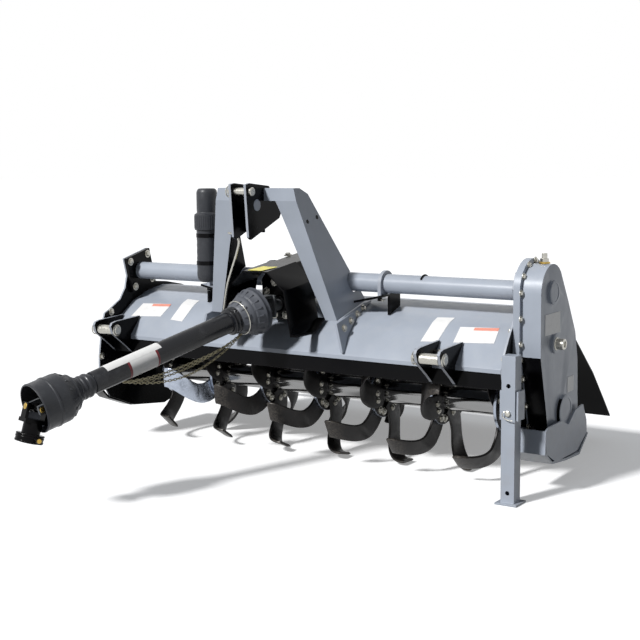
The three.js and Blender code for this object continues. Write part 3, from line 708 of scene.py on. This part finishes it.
class ROTAVATOR_OT_stage(RotavatorStep):
    """Floor, lights and camera"""

    bl_idname = "rotavator.stage"
    bl_label = "Stage"

    def execute(self, context):
        self.floor()
        self.lights()
        self.camera()
        context.scene.view_settings.view_transform = "Standard"
        return {"FINISHED"}

    def floor(self):
        """Pale floor that reflects little light but looks white, and keeps the shadow."""
        work = bmesh.new()
        bmesh.ops.create_grid(work, x_segments=1, y_segments=1, size=60.0)
        mesh = mesh_from(work, "studio_floor")
        make = Coating("studio_floor")
        eye = seen(make.tree)
        tone = colours().floor
        make.link(make.mix(eye, shade(tone, 0.2), shade(tone)), "Base Color")
        make.set(roughness=1.0, specular_ior_level=0.0, emission_color=(1.0, 1.0, 1.0, 1.0))
        make.link(make.times(eye, 0.3), "Emission Strength")
        mesh.materials.append(make.material)
        floor = bpy.data.objects.new("studio_floor", mesh)
        floor.location.z = -0.0005
        bpy.context.scene.collection.objects.link(floor)

    def lights(self):
        """Faint bluish sky that shows white, and one sun from in front."""
        world = bpy.data.worlds.new("studio")
        bpy.context.scene.world = world
        world.use_nodes = True
        tree = world.node_tree
        tree.nodes.clear()
        fill = plug(tree, "ShaderNodeBackground", {"Color": (0.86, 0.92, 1.0, 1.0), "Strength": 0.17})
        white = plug(tree, "ShaderNodeBackground", {"Color": (1, 1, 1, 1), "Strength": 1.0})
        mix = plug(tree, "ShaderNodeMixShader", {0: seen(tree), 1: fill.outputs[0], 2: white.outputs[0]})
        plug(tree, "ShaderNodeOutputWorld", {"Surface": mix.outputs[0]})
        key = bpy.data.lights.new("key_light", "SUN")
        key.energy = 3.9
        key.angle = math.radians(7)
        lamp = bpy.data.objects.new("key_light", key)
        lamp.rotation_euler = Vector((-0.30, -0.92, 0.72)).to_track_quat("Z", "Y").to_euler()
        bpy.context.scene.collection.objects.link(lamp)

    def camera(self):
        """The view from the tractor side, past the gear-case end."""
        turn, dip, roll = 0.582078, 0.124626, -0.008354
        right = Vector((math.cos(turn), math.sin(turn), 0))
        level = Vector((-math.sin(turn), math.cos(turn), 0))
        ahead = level * math.cos(dip) - Vector((0, 0, math.sin(dip)))
        upward = level * math.sin(dip) + Vector((0, 0, math.cos(dip)))
        x_axis = right * math.cos(roll) + upward * math.sin(roll)
        y_axis = upward * math.cos(roll) - right * math.sin(roll)
        data = bpy.data.cameras.new("view")
        data.sensor_width = 36.0
        data.lens = 68.49
        data.shift_y = -0.0085
        camera = bpy.data.objects.new("view", data)
        camera.matrix_world = Matrix((x_axis, y_axis, -ahead)).transposed().to_4x4()
        camera.location = at(2429.95, -3364.32, 1044.36)
        bpy.context.scene.collection.objects.link(camera)
        bpy.context.scene.camera = camera


class ROTAVATOR_OT_housing(RotavatorStep):
    """Deck, front apron, end plates and tailgate"""

    bl_idname = "rotavator.housing"
    bl_label = "Housing"

    def execute(self, context):
        refined("deck", "grey", 0.0012)
        for node in ("front_apron", "tube_flange_right", "tailgate", "skid_right"):
            refined(node, "black")
        for node in ("end_plate_right", "end_plate_left"):
            # Front and top edges that face the key light get the pale finish as painted highlight.
            refined(node, ("black", "edge"), second=front_edge)
        self.labels()
        self.bolts()
        return {"FINISHED"}

    def labels(self):
        """Two tall blank labels, and two wide ones with a pale red header."""
        white, red = bmesh.new(), bmesh.new()
        deck_label(white, [(568, 52), (626, 56), (633, 166), (572, 160)])
        deck_label(white, [(-482, 56), (-424, 52), (-428, 160), (-489, 166)])
        for near, far in (((682, 820), (677, 812)), ((-676, -538), (-668, -533))):
            deck_label(white, [(near[0], 58), (near[1], 66), (far[1], 124), (far[0], 118)])
            start = far[0] + (far[1] - far[0]) * 0.38
            deck_label(red, [(start, 108), (far[1], 112), (far[1], 123), (start, 118)], lift=1.3)
        finish_work("deck_labels", white, "label")
        finish_work("deck_label_headers", red, "label_pale")

    def bolts(self):
        """Tube flange, hitch end, outer plate and rotor bearing of the far side."""
        low, high, _ = measured("tube_flange_right")
        lean = math.atan2(99, 390)
        places = []
        for u in (-50, 50):
            for v in (-50, 50):
                y = TUBE_Y + u * math.cos(lean) - v * math.sin(lean)
                z = TUBE_Z + u * math.sin(lean) + v * math.cos(lean)
                places += [(at(high.x, y, z), (1, 0, 0), 1.05), (at(low.x - 8.3, y, z), (-1, 0, 0), 1.05)]
        places += [(at(-731, y, z), (1, 0, 0), 1.0) for y, z in ((8, 491), (-48, 440), (-50, 330))]
        inner = measured("end_plate_left")[0].x
        rim = ((22, 440), (74, 520), (484, 500), (514, 300), (74, 200), (314, 130))
        places += [(at(inner, y, z), (-1, 0, 0), 0.9) for y, z in rim]
        plate = measured("end_plate_right")[0].x
        places += bolt_circle((plate, ROTOR_Y, ROTOR_Z), (-1, 0, 0), 46, 8, 0.2, 0.95)
        fasteners("housing_bolts", places)


class ROTAVATOR_OT_gear_side(RotavatorStep):
    """Gear case with its flange bolts, bosses, plugs and lower guard"""

    bl_idname = "rotavator.gear_side"
    bl_label = "Gear side"

    panel_low = 0.2
    panel_top = 0.43
    flange = 22
    boss_height = 10

    def execute(self, context):
        low, high, _ = measured("gear_case")
        # The case's lower front face takes the black finish, so it is dark.
        refined("gear_case", ("grey", "black"), 0.004, second=self.front_panel)
        refined("skid_guard_left", "grey", 0.0012)
        rim = [(75, 480), (73, 560), (74, 640), (92, 690), (130, 722), (180, 734), (228, 722), (262, 690),
               (306, 602), (338, 548), (370, 492), (388, 430), (396, 380), (402, 300), (398, 236), (374, 168),
               (330, 128), (268, 114), (200, 128), (158, 164), (136, 210), (118, 280), (92, 370), (74, 432)]
        fasteners("case_bolts", [(at(low.x + self.flange, y, z), (1, 0, 0), 0.86) for y, z in rim])
        self.bosses(high.x - self.boss_height)
        self.plugs(high.x)
        return {"FINISHED"}

    def front_panel(self, face):
        """Lower front face of the case."""
        return face.normal.y < -0.6 and self.panel_low < face.calc_center_median().z < self.panel_top

    def bosses(self, face):
        """Rings around the round bosses and two blank labels."""
        work = bmesh.new()
        bosses = ((TUBE_Y, TUBE_Z, 38, 6), (PLUG_Y, PLUG_Z, 30, 5), (ROTOR_Y, ROTOR_Z, 52, 8))
        for y, z, radius, out in bosses:
            turned(work, at(face + out, y, z), (1, 0, 0), [
                (0, radius - 9), (0, radius - 0.5), (2.6, radius - 1.5), (3.2, radius - 4), (3.2, radius - 9),
                (0, radius - 9)])
        finish_work("boss_rings", work, "grey", angle=50)
        label = bmesh.new()
        for y0, y1, z0, z1 in ((112, 232, 506, 572), (300, 352, 300, 350)):
            corners = [(y0, z0), (y1, z0), (y1, z1), (y0, z1)]
            flat_label(label, [at(face, y, z) for y, z in corners], (1, 0, 0))
        finish_work("case_labels", label, "label")

    def plugs(self, face):
        """The big plug on the case, and the oil plug on a brass ring."""
        work = bmesh.new()
        turned(work, at(face - 3.5, PLUG_Y, PLUG_Z), (1, 0, 0), [
            (0, 20.5), (3, 20.5), (4, 19.5), (4, 17.5), (27, 17.5), (29, 15.5), (29, 10), (24, 9),
            (24, 0.01)], 40)
        finish_work("case_plug", work, "zinc", angle=40)
        low, _, middle = measured("oil_plug")
        ring = bmesh.new()
        turned(ring, at(middle.x, middle.y, low.z), (0, 0, 1), [
            (0, 10), (0, 18), (4, 18), (5, 16.5), (5, 10), (0, 10)], 40)
        finish_work("plug_ring", ring, "brass", angle=40)
        refined("oil_plug", "zinc", 0.0012)


class ROTAVATOR_OT_tube(RotavatorStep):
    """Main tube, its clamps and the gearbox between the halves"""

    bl_idname = "rotavator.tube"
    bl_label = "Main tube and gearbox"

    def execute(self, context):
        for side in ("right", "left"):
            refined("main_tube_" + side, "grey", 0.001)
            refined("tube_clamp_" + side, ("black", "edge"), 0.0012, second=self.strap_face)
        refined("gearbox", "black", 0.004)
        refined("input_yoke", "steel", 0.002)
        self.bolts()
        self.clip()
        return {"FINISHED"}

    def strap_face(self, face):
        """Part of a clamp that wraps the tube."""
        place = (face.calc_center_median() - ORIGIN) / MM
        return math.hypot(place.y - TUBE_Y, place.z - TUBE_Z) < 50

    def bolts(self):
        """Input cover, tube collars, clamps and the bolt on top of the gearbox."""
        input_z = 576
        places = bolt_circle((MAST_X, 64, input_z), (0, -1, 0), 61, 8, math.pi / 8, 1.0)
        collar = 14.3
        inner_ends = (-1, measured("main_tube_right")[1].x), (1, measured("main_tube_left")[0].x)
        for side, end in inner_ends:
            places += bolt_circle((end + side * collar, TUBE_Y, TUBE_Z), (side, 0, 0), 49, 6, 0.3, 0.8)
        for side in (-1, 1):
            places += [(at(MAST_X + side * 370, y, 586), (0, 0, -1), 0.8) for y in (200, 136)]
        places.append((at(-52, 202, 714.5), (0, -0.13, 1), 1.1))
        fasteners("gearbox_bolts", places)

    def clip(self):
        """Small spring clip over the top of the tube."""
        work = bmesh.new()
        arch = [-0.9 + 1.8 * k / 14 for k in range(15)]
        line = [at(520, TUBE_Y + 34.5 * math.sin(turn), TUBE_Z + 34.5 * math.cos(turn)) for turn in arch]
        pipe(work, line, 3.2, 10)
        finish_work("tube_clip", work, "black", angle=40)


class ROTAVATOR_OT_mast(RotavatorStep):
    """Mast arms, brackets, top hitch plates and pin, with the hood over the input shaft"""

    bl_idname = "rotavator.mast"
    bl_label = "Mast and hood"

    def execute(self, context):
        for side, inward in (("left", -1), ("right", 1)):
            # Faces turned inward, towards the mast's middle, take the black finish, so the arms are dark
            # inside.
            refined("mast_arm_" + side, ("grey", "black"), 0.0022,
                    second=lambda face: face.normal.x * inward > 0.7)
            refined("mast_bracket_" + side, "grey")
            # Front and top edges that face the key light get the pale finish as painted highlight.
            refined("hitch_plate_" + side, ("black", "edge"), second=front_edge)
        refined("mast_crossplate", "black")
        refined("input_guard", "black", 0.0012)
        self.top_pin()
        self.bolts()
        self.holes()
        self.badge()
        self.hood_label()
        return {"FINISHED"}

    def top_pin(self):
        low, high, middle = measured("top_pin")
        length = high.x - low.x
        work = bmesh.new()
        turned(work, at(low.x, middle.y, middle.z), (1, 0, 0), [
            (0, 7.5), (3, 10), (18, 10), (18, 12.5), (length - 9, 12.5), (length - 9, 14.5),
            (length - 2, 14.5), (length, 12.5)], 40)
        linchpin(work, at(low.x + 9, middle.y, middle.z), (0, 0.3, 1), (-1, 0, 0), 40, 17)
        finish_work("top_pin_made", work, "zinc", replaced=("top_pin",), angle=40)

    def bolts(self):
        places = []
        for side in (-1, 1):
            for y, z in ((33, 495), (84, 513), (132, 530), (176, 546)):
                places.append((at(arm_face(side, z, 12), y, z), (side, 0, ARM_LEAN), 0.95))
        fasteners("bracket_bolts", places, sides=18)

    def holes(self):
        """Spare holes in the arms' webs: shallow cups with a rim, black as painted shade for the dark inside
        of each hole.
        """
        work = bmesh.new()
        for side in (-1, 1):
            outward = Vector((side, 0, ARM_LEAN)).normalized()
            for y, z in ((-32, 850), (28, 862)):
                turned(work, at(arm_face(side, z, 0.3), y, z) - outward * 0.4 * MM, outward, [
                    (0, 0.01), (0, 7), (0.9, 7), (0.9, 6.2), (0.5, 6), (0.5, 0.01)], 20)
        finish_work("arm_holes", work, "black", angle=40)

    def badge(self):
        """Bare disc on the hitch plate."""
        work = bmesh.new()
        centre = at(MAST_X + 36.2, -112, 905)
        turned(work, centre, (1, 0, 0), [(0, 19), (0.8, 19), (1.4, 17.5), (1.4, 16)], 40)
        finish_work("bare_badge", work, "grey", angle=40)

    def hood_label(self):
        """Yellow blank label near the hood's front edge."""
        work = bmesh.new()
        rise = 0.132
        corners = [(-34, -74), (24, -74), (44, -8), (-16, -8)]
        flat_label(work, [at(MAST_X + x, y, 682.9 + rise * (y + 80)) for x, y in corners], (0, -rise, 1))
        finish_work("hood_label", work, "label_yellow")


class ROTAVATOR_OT_lower_hitch(RotavatorStep):
    """Lower hitch clevises with their pins and ring pins"""

    bl_idname = "rotavator.lower_hitch"
    bl_label = "Lower hitch"

    def execute(self, context):
        pins = bmesh.new()
        places = []
        for side in ("left", "right"):
            # Front and top edges that face the key light get the pale finish as painted highlight.
            refined("lower_clevis_" + side, ("black", "edge"), second=front_edge)
            low, high, middle = measured("lower_pin_" + side)
            length = high.x - low.x
            turned(pins, at(low.x, middle.y, middle.z), (1, 0, 0), [
                (0, 11), (2.5, 14), (26, 14), (26, 17), (92, 17), (92, 14), (length - 7.5, 14),
                (length - 7.5, 20.5), (length - 4, 21), (length - 2.5, 19), (length - 2.5, 14),
                (length, 12.5)])
            linchpin(pins, at(low.x + 9, middle.y, middle.z), (0, 0.25, 1), (-1, 0, 0), 44, 20)
            centre = measured("lower_clevis_" + side)[2].x
            places += [(at(centre + dx, 28, deck_height(28)), (0, -0.75, 0.66), 0.8) for dx in (-24, 24)]
        nodes = ("lower_pin_left", "lower_pin_right")
        finish_work("lower_pins_made", pins, "zinc", replaced=nodes, angle=40)
        fasteners("hitch_bolts", places)
        return {"FINISHED"}


class ROTAVATOR_OT_stand(RotavatorStep):
    """Parking stand, its sleeve and the locking pin with its wire bail"""

    bl_idname = "rotavator.stand"
    bl_label = "Stand"

    def execute(self, context):
        refined("stand_leg", "grey", 0.002)
        refined("stand_sleeve", "grey")
        low, high, middle = measured("stand_pin")
        length = high.y - low.y
        start = Vector((middle.x, low.y, middle.z))
        work = bmesh.new()
        turned(work, at(*start), (0, 1, 0), [
            (0, 6), (1.5, 8.5), (length - 12.3, 9), (length - 12.3, 6), (length, 6)], 28)
        bends = [(0, 3, 9), (-11, -2, 4), (-14, -3, -8), (1, -4, -17), (20, -3, -19)]
        pipe(work, curve_through([at(*(start + Vector(bend))) for bend in bends], 6), 1.5, 8)
        finish_work("stand_pin_made", work, "zinc", "stand", ("stand_pin",), angle=40)
        return {"FINISHED"}


class ROTAVATOR_OT_rotor(RotavatorStep):
    """Rotor tube, hub discs, curved blades and their bolts"""

    bl_idname = "rotavator.rotor"
    bl_label = "Rotor"

    gangs = 7
    first_x = -625
    pitch = 233
    gang_turn = 0.175
    phase = 1.012
    tube = 40
    hub = 92
    half_hub = 6
    bolts_out = 70
    bolts_apart = 26
    root = 34
    radius = 240
    arc = 90
    reach = 98
    sweep = 0.716

    def execute(self, context):
        low, high, _ = measured("rotor_tube")
        length = high.x - low.x
        work = bmesh.new()
        turned(work, at(low.x, ROTOR_Y, ROTOR_Z), (1, 0, 0), [
            (0, 18), (2, 20), (38, 20), (38, self.tube), (length - 45, self.tube), (length - 45, 20),
            (length - 2, 20), (length, 18)], 64)
        finish_work("rotor_tube_made", work, "gloss", "rotor", ("rotor_tube",), angle=40)
        bolts = []
        for number in range(self.gangs):
            bolts += self.gang(f"tine_gang_{number + 1}", number)
        fasteners("blade_bolts", bolts, "rotor")
        return {"FINISHED"}

    def around(self, x, across, out, turn):
        """Place at x, turned about the rotor's axis."""
        y = across * math.cos(turn) - out * math.sin(turn)
        z = across * math.sin(turn) + out * math.cos(turn)
        return at(x, ROTOR_Y + y, ROTOR_Z + z)

    def gang(self, node, number):
        """One hub with its blades to both sides; returns the places of its bolts."""
        centre = self.first_x + self.pitch * number
        start, bore, hub = at(centre - self.half_hub, ROTOR_Y, ROTOR_Z), self.tube + 0.6, self.hub
        work = bmesh.new()
        bolts = []
        turned(work, start, (1, 0, 0), [
            (0, bore), (0, hub - 1.5), (1, hub - 0.5), (11, hub - 0.5), (12, hub - 1.5), (12, bore),
            (0, bore)], 72)
        # The hub's outer rim band takes the rim steel, a painted reflection.
        band(work, start, (1, 0, 0), 1, 11, hub - 3, hub, index=1)
        for blade in range(3):
            angle = blade / 3 * FULL_TURN + number * self.gang_turn + self.phase
            if number < self.gangs - 1:
                self.blade(work, centre, 1, angle)
                bolts += self.bolt_pair(centre, 1, angle)
            if number > 0:
                scoured = 2 if number == 1 and blade == 0 else 0
                self.blade(work, centre, -1, angle + math.pi / 3, scoured)
                bolts += self.bolt_pair(centre, -1, angle + math.pi / 3)
        finish_work(node + "_made", work, ("blade", "rim", "polished"), "rotor", (node,),
                    bevel=0.0008, segments=1, angle=38)
        return bolts

    def bolt_pair(self, centre, side, angle):
        """Two bolts through a blade's shank: heads on the hub's far face, nuts on the shank."""
        hub_face = centre - side * self.half_hub
        shank_face = centre + side * (self.half_hub + sizes().blade_thickness / MM)
        places = []
        for across in (-self.bolts_apart / 2, self.bolts_apart / 2):
            places.append((self.around(hub_face, across, self.bolts_out, angle), (-side, 0, 0), 1.0))
            places.append((self.around(shank_face, across, self.bolts_out, angle), (side, 0, 0), 0.8))
        return places

    def blade(self, work, centre, side, angle, index=0):
        """A shank from the hub that bends round to the side, thinned to a cutting edge in front."""
        thick = sizes().blade_thickness / MM
        width = sizes().blade_width / MM
        line = [(0, out) for out in (self.root, 50, 66, 84, 104, 124)]
        for i in range(15):
            turn = i / 14 * math.pi / 2
            line.append((self.arc * (1 - math.cos(turn)), self.radius - self.arc * (1 - math.sin(turn))))
        line.append((self.reach, self.radius - 1))
        rings = []
        for i, (x, out) in enumerate(line):
            tangent = (Vector(line[min(i + 1, len(line) - 1)]) - Vector(line[max(i - 1, 0)])).normalized()
            half = width / 2 * (1 - 0.2 * max(0.0, (x - 20) / self.reach))
            swept = (max(out, self.root) - self.root) / (self.radius - self.root)
            turn = angle - self.sweep * swept ** 1.6
            section = [(-half, 0.25), (-half + 10, 0), (half - 2, 0), (half, 0.2), (half, 0.8),
                       (half - 2, 1), (-half + 10, 1), (-half, 0.5)]
            near = centre + side * (self.half_hub + x)
            rings.append([self.around(near + side * tangent.y * thick * depth, across,
                                      out - tangent.x * thick * depth, turn) for across, depth in section])
        loft(work, rings, index=index)


class ROTAVATOR_OT_driveline(RotavatorStep):
    """Driveline joints, telescoping guards with ribbed bells, labels and retaining chains"""

    bl_idname = "rotavator.driveline"
    bl_label = "Driveline"

    outer_tube = 35
    cone_end = 121

    def execute(self, context):
        refined("rear_cross", "zinc", 0.001)
        refined("rear_shaft", "steel", 0.002)
        refined("front_shaft", "steel", 0.002)
        self.rear_guard()
        self.front_guard()
        self.coupler()
        self.labels()
        self.chains()
        return {"FINISHED"}

    def fins(self, work, start, end, height, count, half_wide, phase=0.0):
        """Ribs along a guard, from (place, radius) start to end."""
        stations = [(start[0], start[1], 1.0), (start[0] + 6, start[1] + (end[1] - start[1]) * 0.15, height),
                    (end[0] - 4, end[1], height), (end[0], end[1], 1.0)]
        rings = [(along, [(radius - 2, -half_wide), (radius - 2, half_wide),
                          (radius + lift, 0.7 * half_wide), (radius + lift, -0.7 * half_wide)])
                 for along, radius, lift in stations]
        ribs(work, on_drive, rings, count, phase)

    def rear_guard(self):
        """Outer guard: a pale ribbed cone on a dark tube, with the wire loop that the chains hook on."""
        work = bmesh.new()
        turned(work, DRIVE_START, DRIVE_WAY, [
            (25, 76), (42, 76), (112, 44), (122, 32), (690, 32), (690, 34), (688, 35), (153, 35),
            (153, 39), (150, 45), (146, 46), (143, 44), (136, 44), (134, 46.5), (129, 46.5), (127, 45),
            (122, 45), (118, 50), (92, 60.5), (88, 64.5), (82, 66), (78, 66.5), (74, 71), (50, 77),
            (47, 80), (43, 81), (39, 79), (30, 79), (28, 80), (25, 80), (25, 76)], 72)
        self.fins(work, (52, 76.5), (80, 66), 4.2, 18, 3.0)
        self.fins(work, (94, 60), (118, 50.5), 3.4, 12, 4.0, 0.2)
        for face in work.faces:
            along = (face.calc_center_median() - DRIVE_START).dot(DRIVE_WAY) / MM
            face.material_index = 1 if along < self.cone_end else 0
        finish_work("rear_guard_made", work, ("guard_tube", "guard_bell"), "driveline_rear", ("rear_guard",),
                    bevel=0.0006, segments=1, angle=34)
        wire = bmesh.new()
        turns = [FULL_TURN * k / 40 for k in range(40)]
        line = [on_drive(104, 58 * math.cos(turn), 58 * math.sin(turn)) for turn in turns]
        pipe(wire, line, 2.2, 8, closed=True)
        finish_work("retaining_loop", wire, "zinc", "driveline_rear", angle=50)

    def front_guard(self):
        work = bmesh.new()
        turned(work, DRIVE_START, DRIVE_WAY, [
            (360, 28), (738, 28), (792, 67), (802, 73), (893, 73), (893, 77), (889, 78.5), (885, 77),
            (846, 77), (844, 79), (838, 79), (836, 77), (806, 77), (800, 76), (788, 70), (770, 58),
            (764, 58.5), (760, 53), (748, 43), (744, 38), (741, 39), (738, 37.5), (733, 36), (730, 38.5),
            (725, 38.5), (722, 36), (716, 36), (713, 38.5), (708, 38.5), (703, 37), (703, 31),
            (360, 31), (360, 28)], 72)
        self.fins(work, (770, 57.5), (796, 72), 3.2, 14, 3.5)
        finish_work("front_guard_made", work, "plastic", "driveline_front", ("front_guard",),
                    bevel=0.0006, segments=1, angle=34)

    def coupler(self):
        """Drooped front yoke with its collar, quick-release pin and bearing caps."""
        refined("front_yoke", "black", 0.0016, angle=28)
        hang = (DRIVE @ DROOP).to_3x3() @ Vector((0, -1, 0))
        side = SWING.to_3x3() @ Vector((1, 0, 0))
        joint = on_drive(FRONT_JOINT)
        collar = bmesh.new()
        for along in (79, 86, 98):
            turned(collar, joint + hang * along * MM, hang, [
                (0, 40.2), (0, 42.6), (1.2, 43.2), (3.4, 43.2), (4.2, 42.4), (4.2, 40.2), (0, 40.2)], 56)
        finish_work("coupler_collar", collar, "black", "coupler", angle=40)
        bright = bmesh.new()
        button = joint + hang * 91 * MM + side * 50 * MM
        turned(bright, button, side, [(0, 5), (8, 5), (8, 7), (12, 7), (13, 6)], 24)
        for sign in (-1, 1):
            for out in (side * sign, side.cross(hang) * sign):
                turned(bright, joint + out * 36 * MM, out, [(-2, 9.5), (2.4, 9.5), (3.2, 8), (3.2, 3)], 24)
        finish_work("bearing_caps", bright, "brass", "coupler", angle=40)

    def labels(self):
        """Blank white label around the outer tube and along its top, with a dark red stripe at each end."""
        white, red = bmesh.new(), bmesh.new()
        tube = self.outer_tube
        band(white, DRIVE_START, DRIVE_WAY, 462, 562, tube - 0.2, tube + 0.7)
        turns = [-0.85 + 1.7 * k / 12 for k in range(13)]
        section = [(tube - 0.1, turn) for turn in turns] + [(tube + 1.1, turn) for turn in reversed(turns)]
        loft(white, [[on_drive(along, radius * math.sin(turn), radius * math.cos(turn))
                      for radius, turn in section] for along in (436, 640)])
        for start in (455, 561):
            band(red, DRIVE_START, DRIVE_WAY, start, start + 8, tube - 0.2, tube + 0.8)
        finish_work("tube_label", white, "label", "driveline_rear", angle=40)
        finish_work("tube_label_stripes", red, "label_red", "driveline_rear", angle=40)

    def chains(self):
        """Retaining chains hooked up along the underside of the guard."""
        start, length, end_up, steps = 110, 470, -40, 60
        for number, (drop, side, start_up) in enumerate(((26, 6, -56), (44, -10, -52), (58, 12, -52))):
            line = []
            for i in range(steps + 1):
                t = i / steps
                sag = 4 * t * (1 - t)
                up = start_up * (1 - t) + end_up * t - drop * sag
                line.append(on_drive(start + length * t, side * sag + 5 * math.sin(9 * t + number), up))
            chain(f"retaining_chain_{number + 1}", line, "driveline_rear")


class ROTAVATOR_OT_mast_fittings(RotavatorStep):
    """Manual canister and the driveline's wire hook"""

    bl_idname = "rotavator.mast_fittings"
    bl_label = "Mast fittings"

    def execute(self, context):
        self.canister()
        self.hook()
        return {"FINISHED"}

    def canister(self):
        """Ribbed tube with a screwed lid, and the two straps that hold it."""
        low, _, middle = measured("manual_canister")
        foot = at(middle.x, middle.y, low.z)
        work = bmesh.new()
        outline = [(0, 24), (2, 28), (10, 36), (24, 39)]
        outline += [(place, 38.2 if k % 2 else 39) for k, place in enumerate(range(36, 184, 12))]
        outline += [(185, 39), (187, 45), (190, 45.4), (239, 45.4), (242, 45), (245, 39), (250, 36),
                    (254, 37), (318, 37), (326, 35), (332, 30), (333, 26), (328, 25), (327, 0.01)]
        turned(work, foot, (0, 0, 1), outline, 72)
        section = [(44.5, -1.6), (46.2, -1.0), (46.2, 1.0), (44.5, 1.6)]
        ribs(work, lambda up, x, y: foot + Vector((x, y, up)) * MM, [(192, section), (237, section)], 36)
        finish_work("canister_made", work, "plastic", replaced=("manual_canister",),
                    bevel=0.0006, segments=1, angle=34)
        straps = bmesh.new()
        for height in (62, 160):
            band(straps, foot, (0, 0, 1), height, height + 14, 38, 40.6, 56)
        finish_work("canister_straps", straps, "black", angle=40)

    def hook(self):
        """Bent wire that the driveline's coupler is hung on."""
        bends = [(-118, -56, 806), (-96, -82, 808), (-66, -92, 804), (-48, -92, 783), (-60, -91, 739),
                 (-85, -90, 677), (-105, -90, 618), (-122, -90, 520)]
        work = bmesh.new()
        pipe(work, curve_through([at(*bend) for bend in bends], 10), 4, 14)
        finish_work("hook_made", work, "zinc", replaced=("driveline_hook",), angle=50)


STEPS = (
    ROTAVATOR_OT_stage, ROTAVATOR_OT_housing, ROTAVATOR_OT_gear_side, ROTAVATOR_OT_tube, ROTAVATOR_OT_mast,
    ROTAVATOR_OT_lower_hitch, ROTAVATOR_OT_stand, ROTAVATOR_OT_rotor, ROTAVATOR_OT_driveline,
    ROTAVATOR_OT_mast_fittings,
)


class ROTAVATOR_PT_panel(bpy.types.Panel):
    bl_idname = "ROTAVATOR_PT_panel"
    bl_label = "Rotavator"
    bl_space_type = "VIEW_3D"
    bl_region_type = "UI"
    bl_category = "Rotavator"

    def draw(self, context):
        layout = self.layout
        for step in STEPS:
            layout.operator(step.bl_idname)
        for group in (context.scene.rotavator_sizes, context.scene.rotavator_colours):
            column = layout.column()
            for name in group.bl_rna.properties.keys():
                if name not in ("rna_type", "name"):
                    column.prop(group, name)


CLASSES = (RotavatorSizes, RotavatorColours) + STEPS + (ROTAVATOR_PT_panel,)


def register():
    for one in CLASSES:
        bpy.utils.register_class(one)
    bpy.types.Scene.rotavator_sizes = bpy.props.PointerProperty(type=RotavatorSizes)
    bpy.types.Scene.rotavator_colours = bpy.props.PointerProperty(type=RotavatorColours)


def unregister():
    del bpy.types.Scene.rotavator_colours
    del bpy.types.Scene.rotavator_sizes
    for one in reversed(CLASSES):
        bpy.utils.unregister_class(one)


def main():
    register()
    for step in STEPS:
        group, name = step.bl_idname.split(".")
        getattr(getattr(bpy.ops, group), name)()


if __name__ == "__main__":
    main()
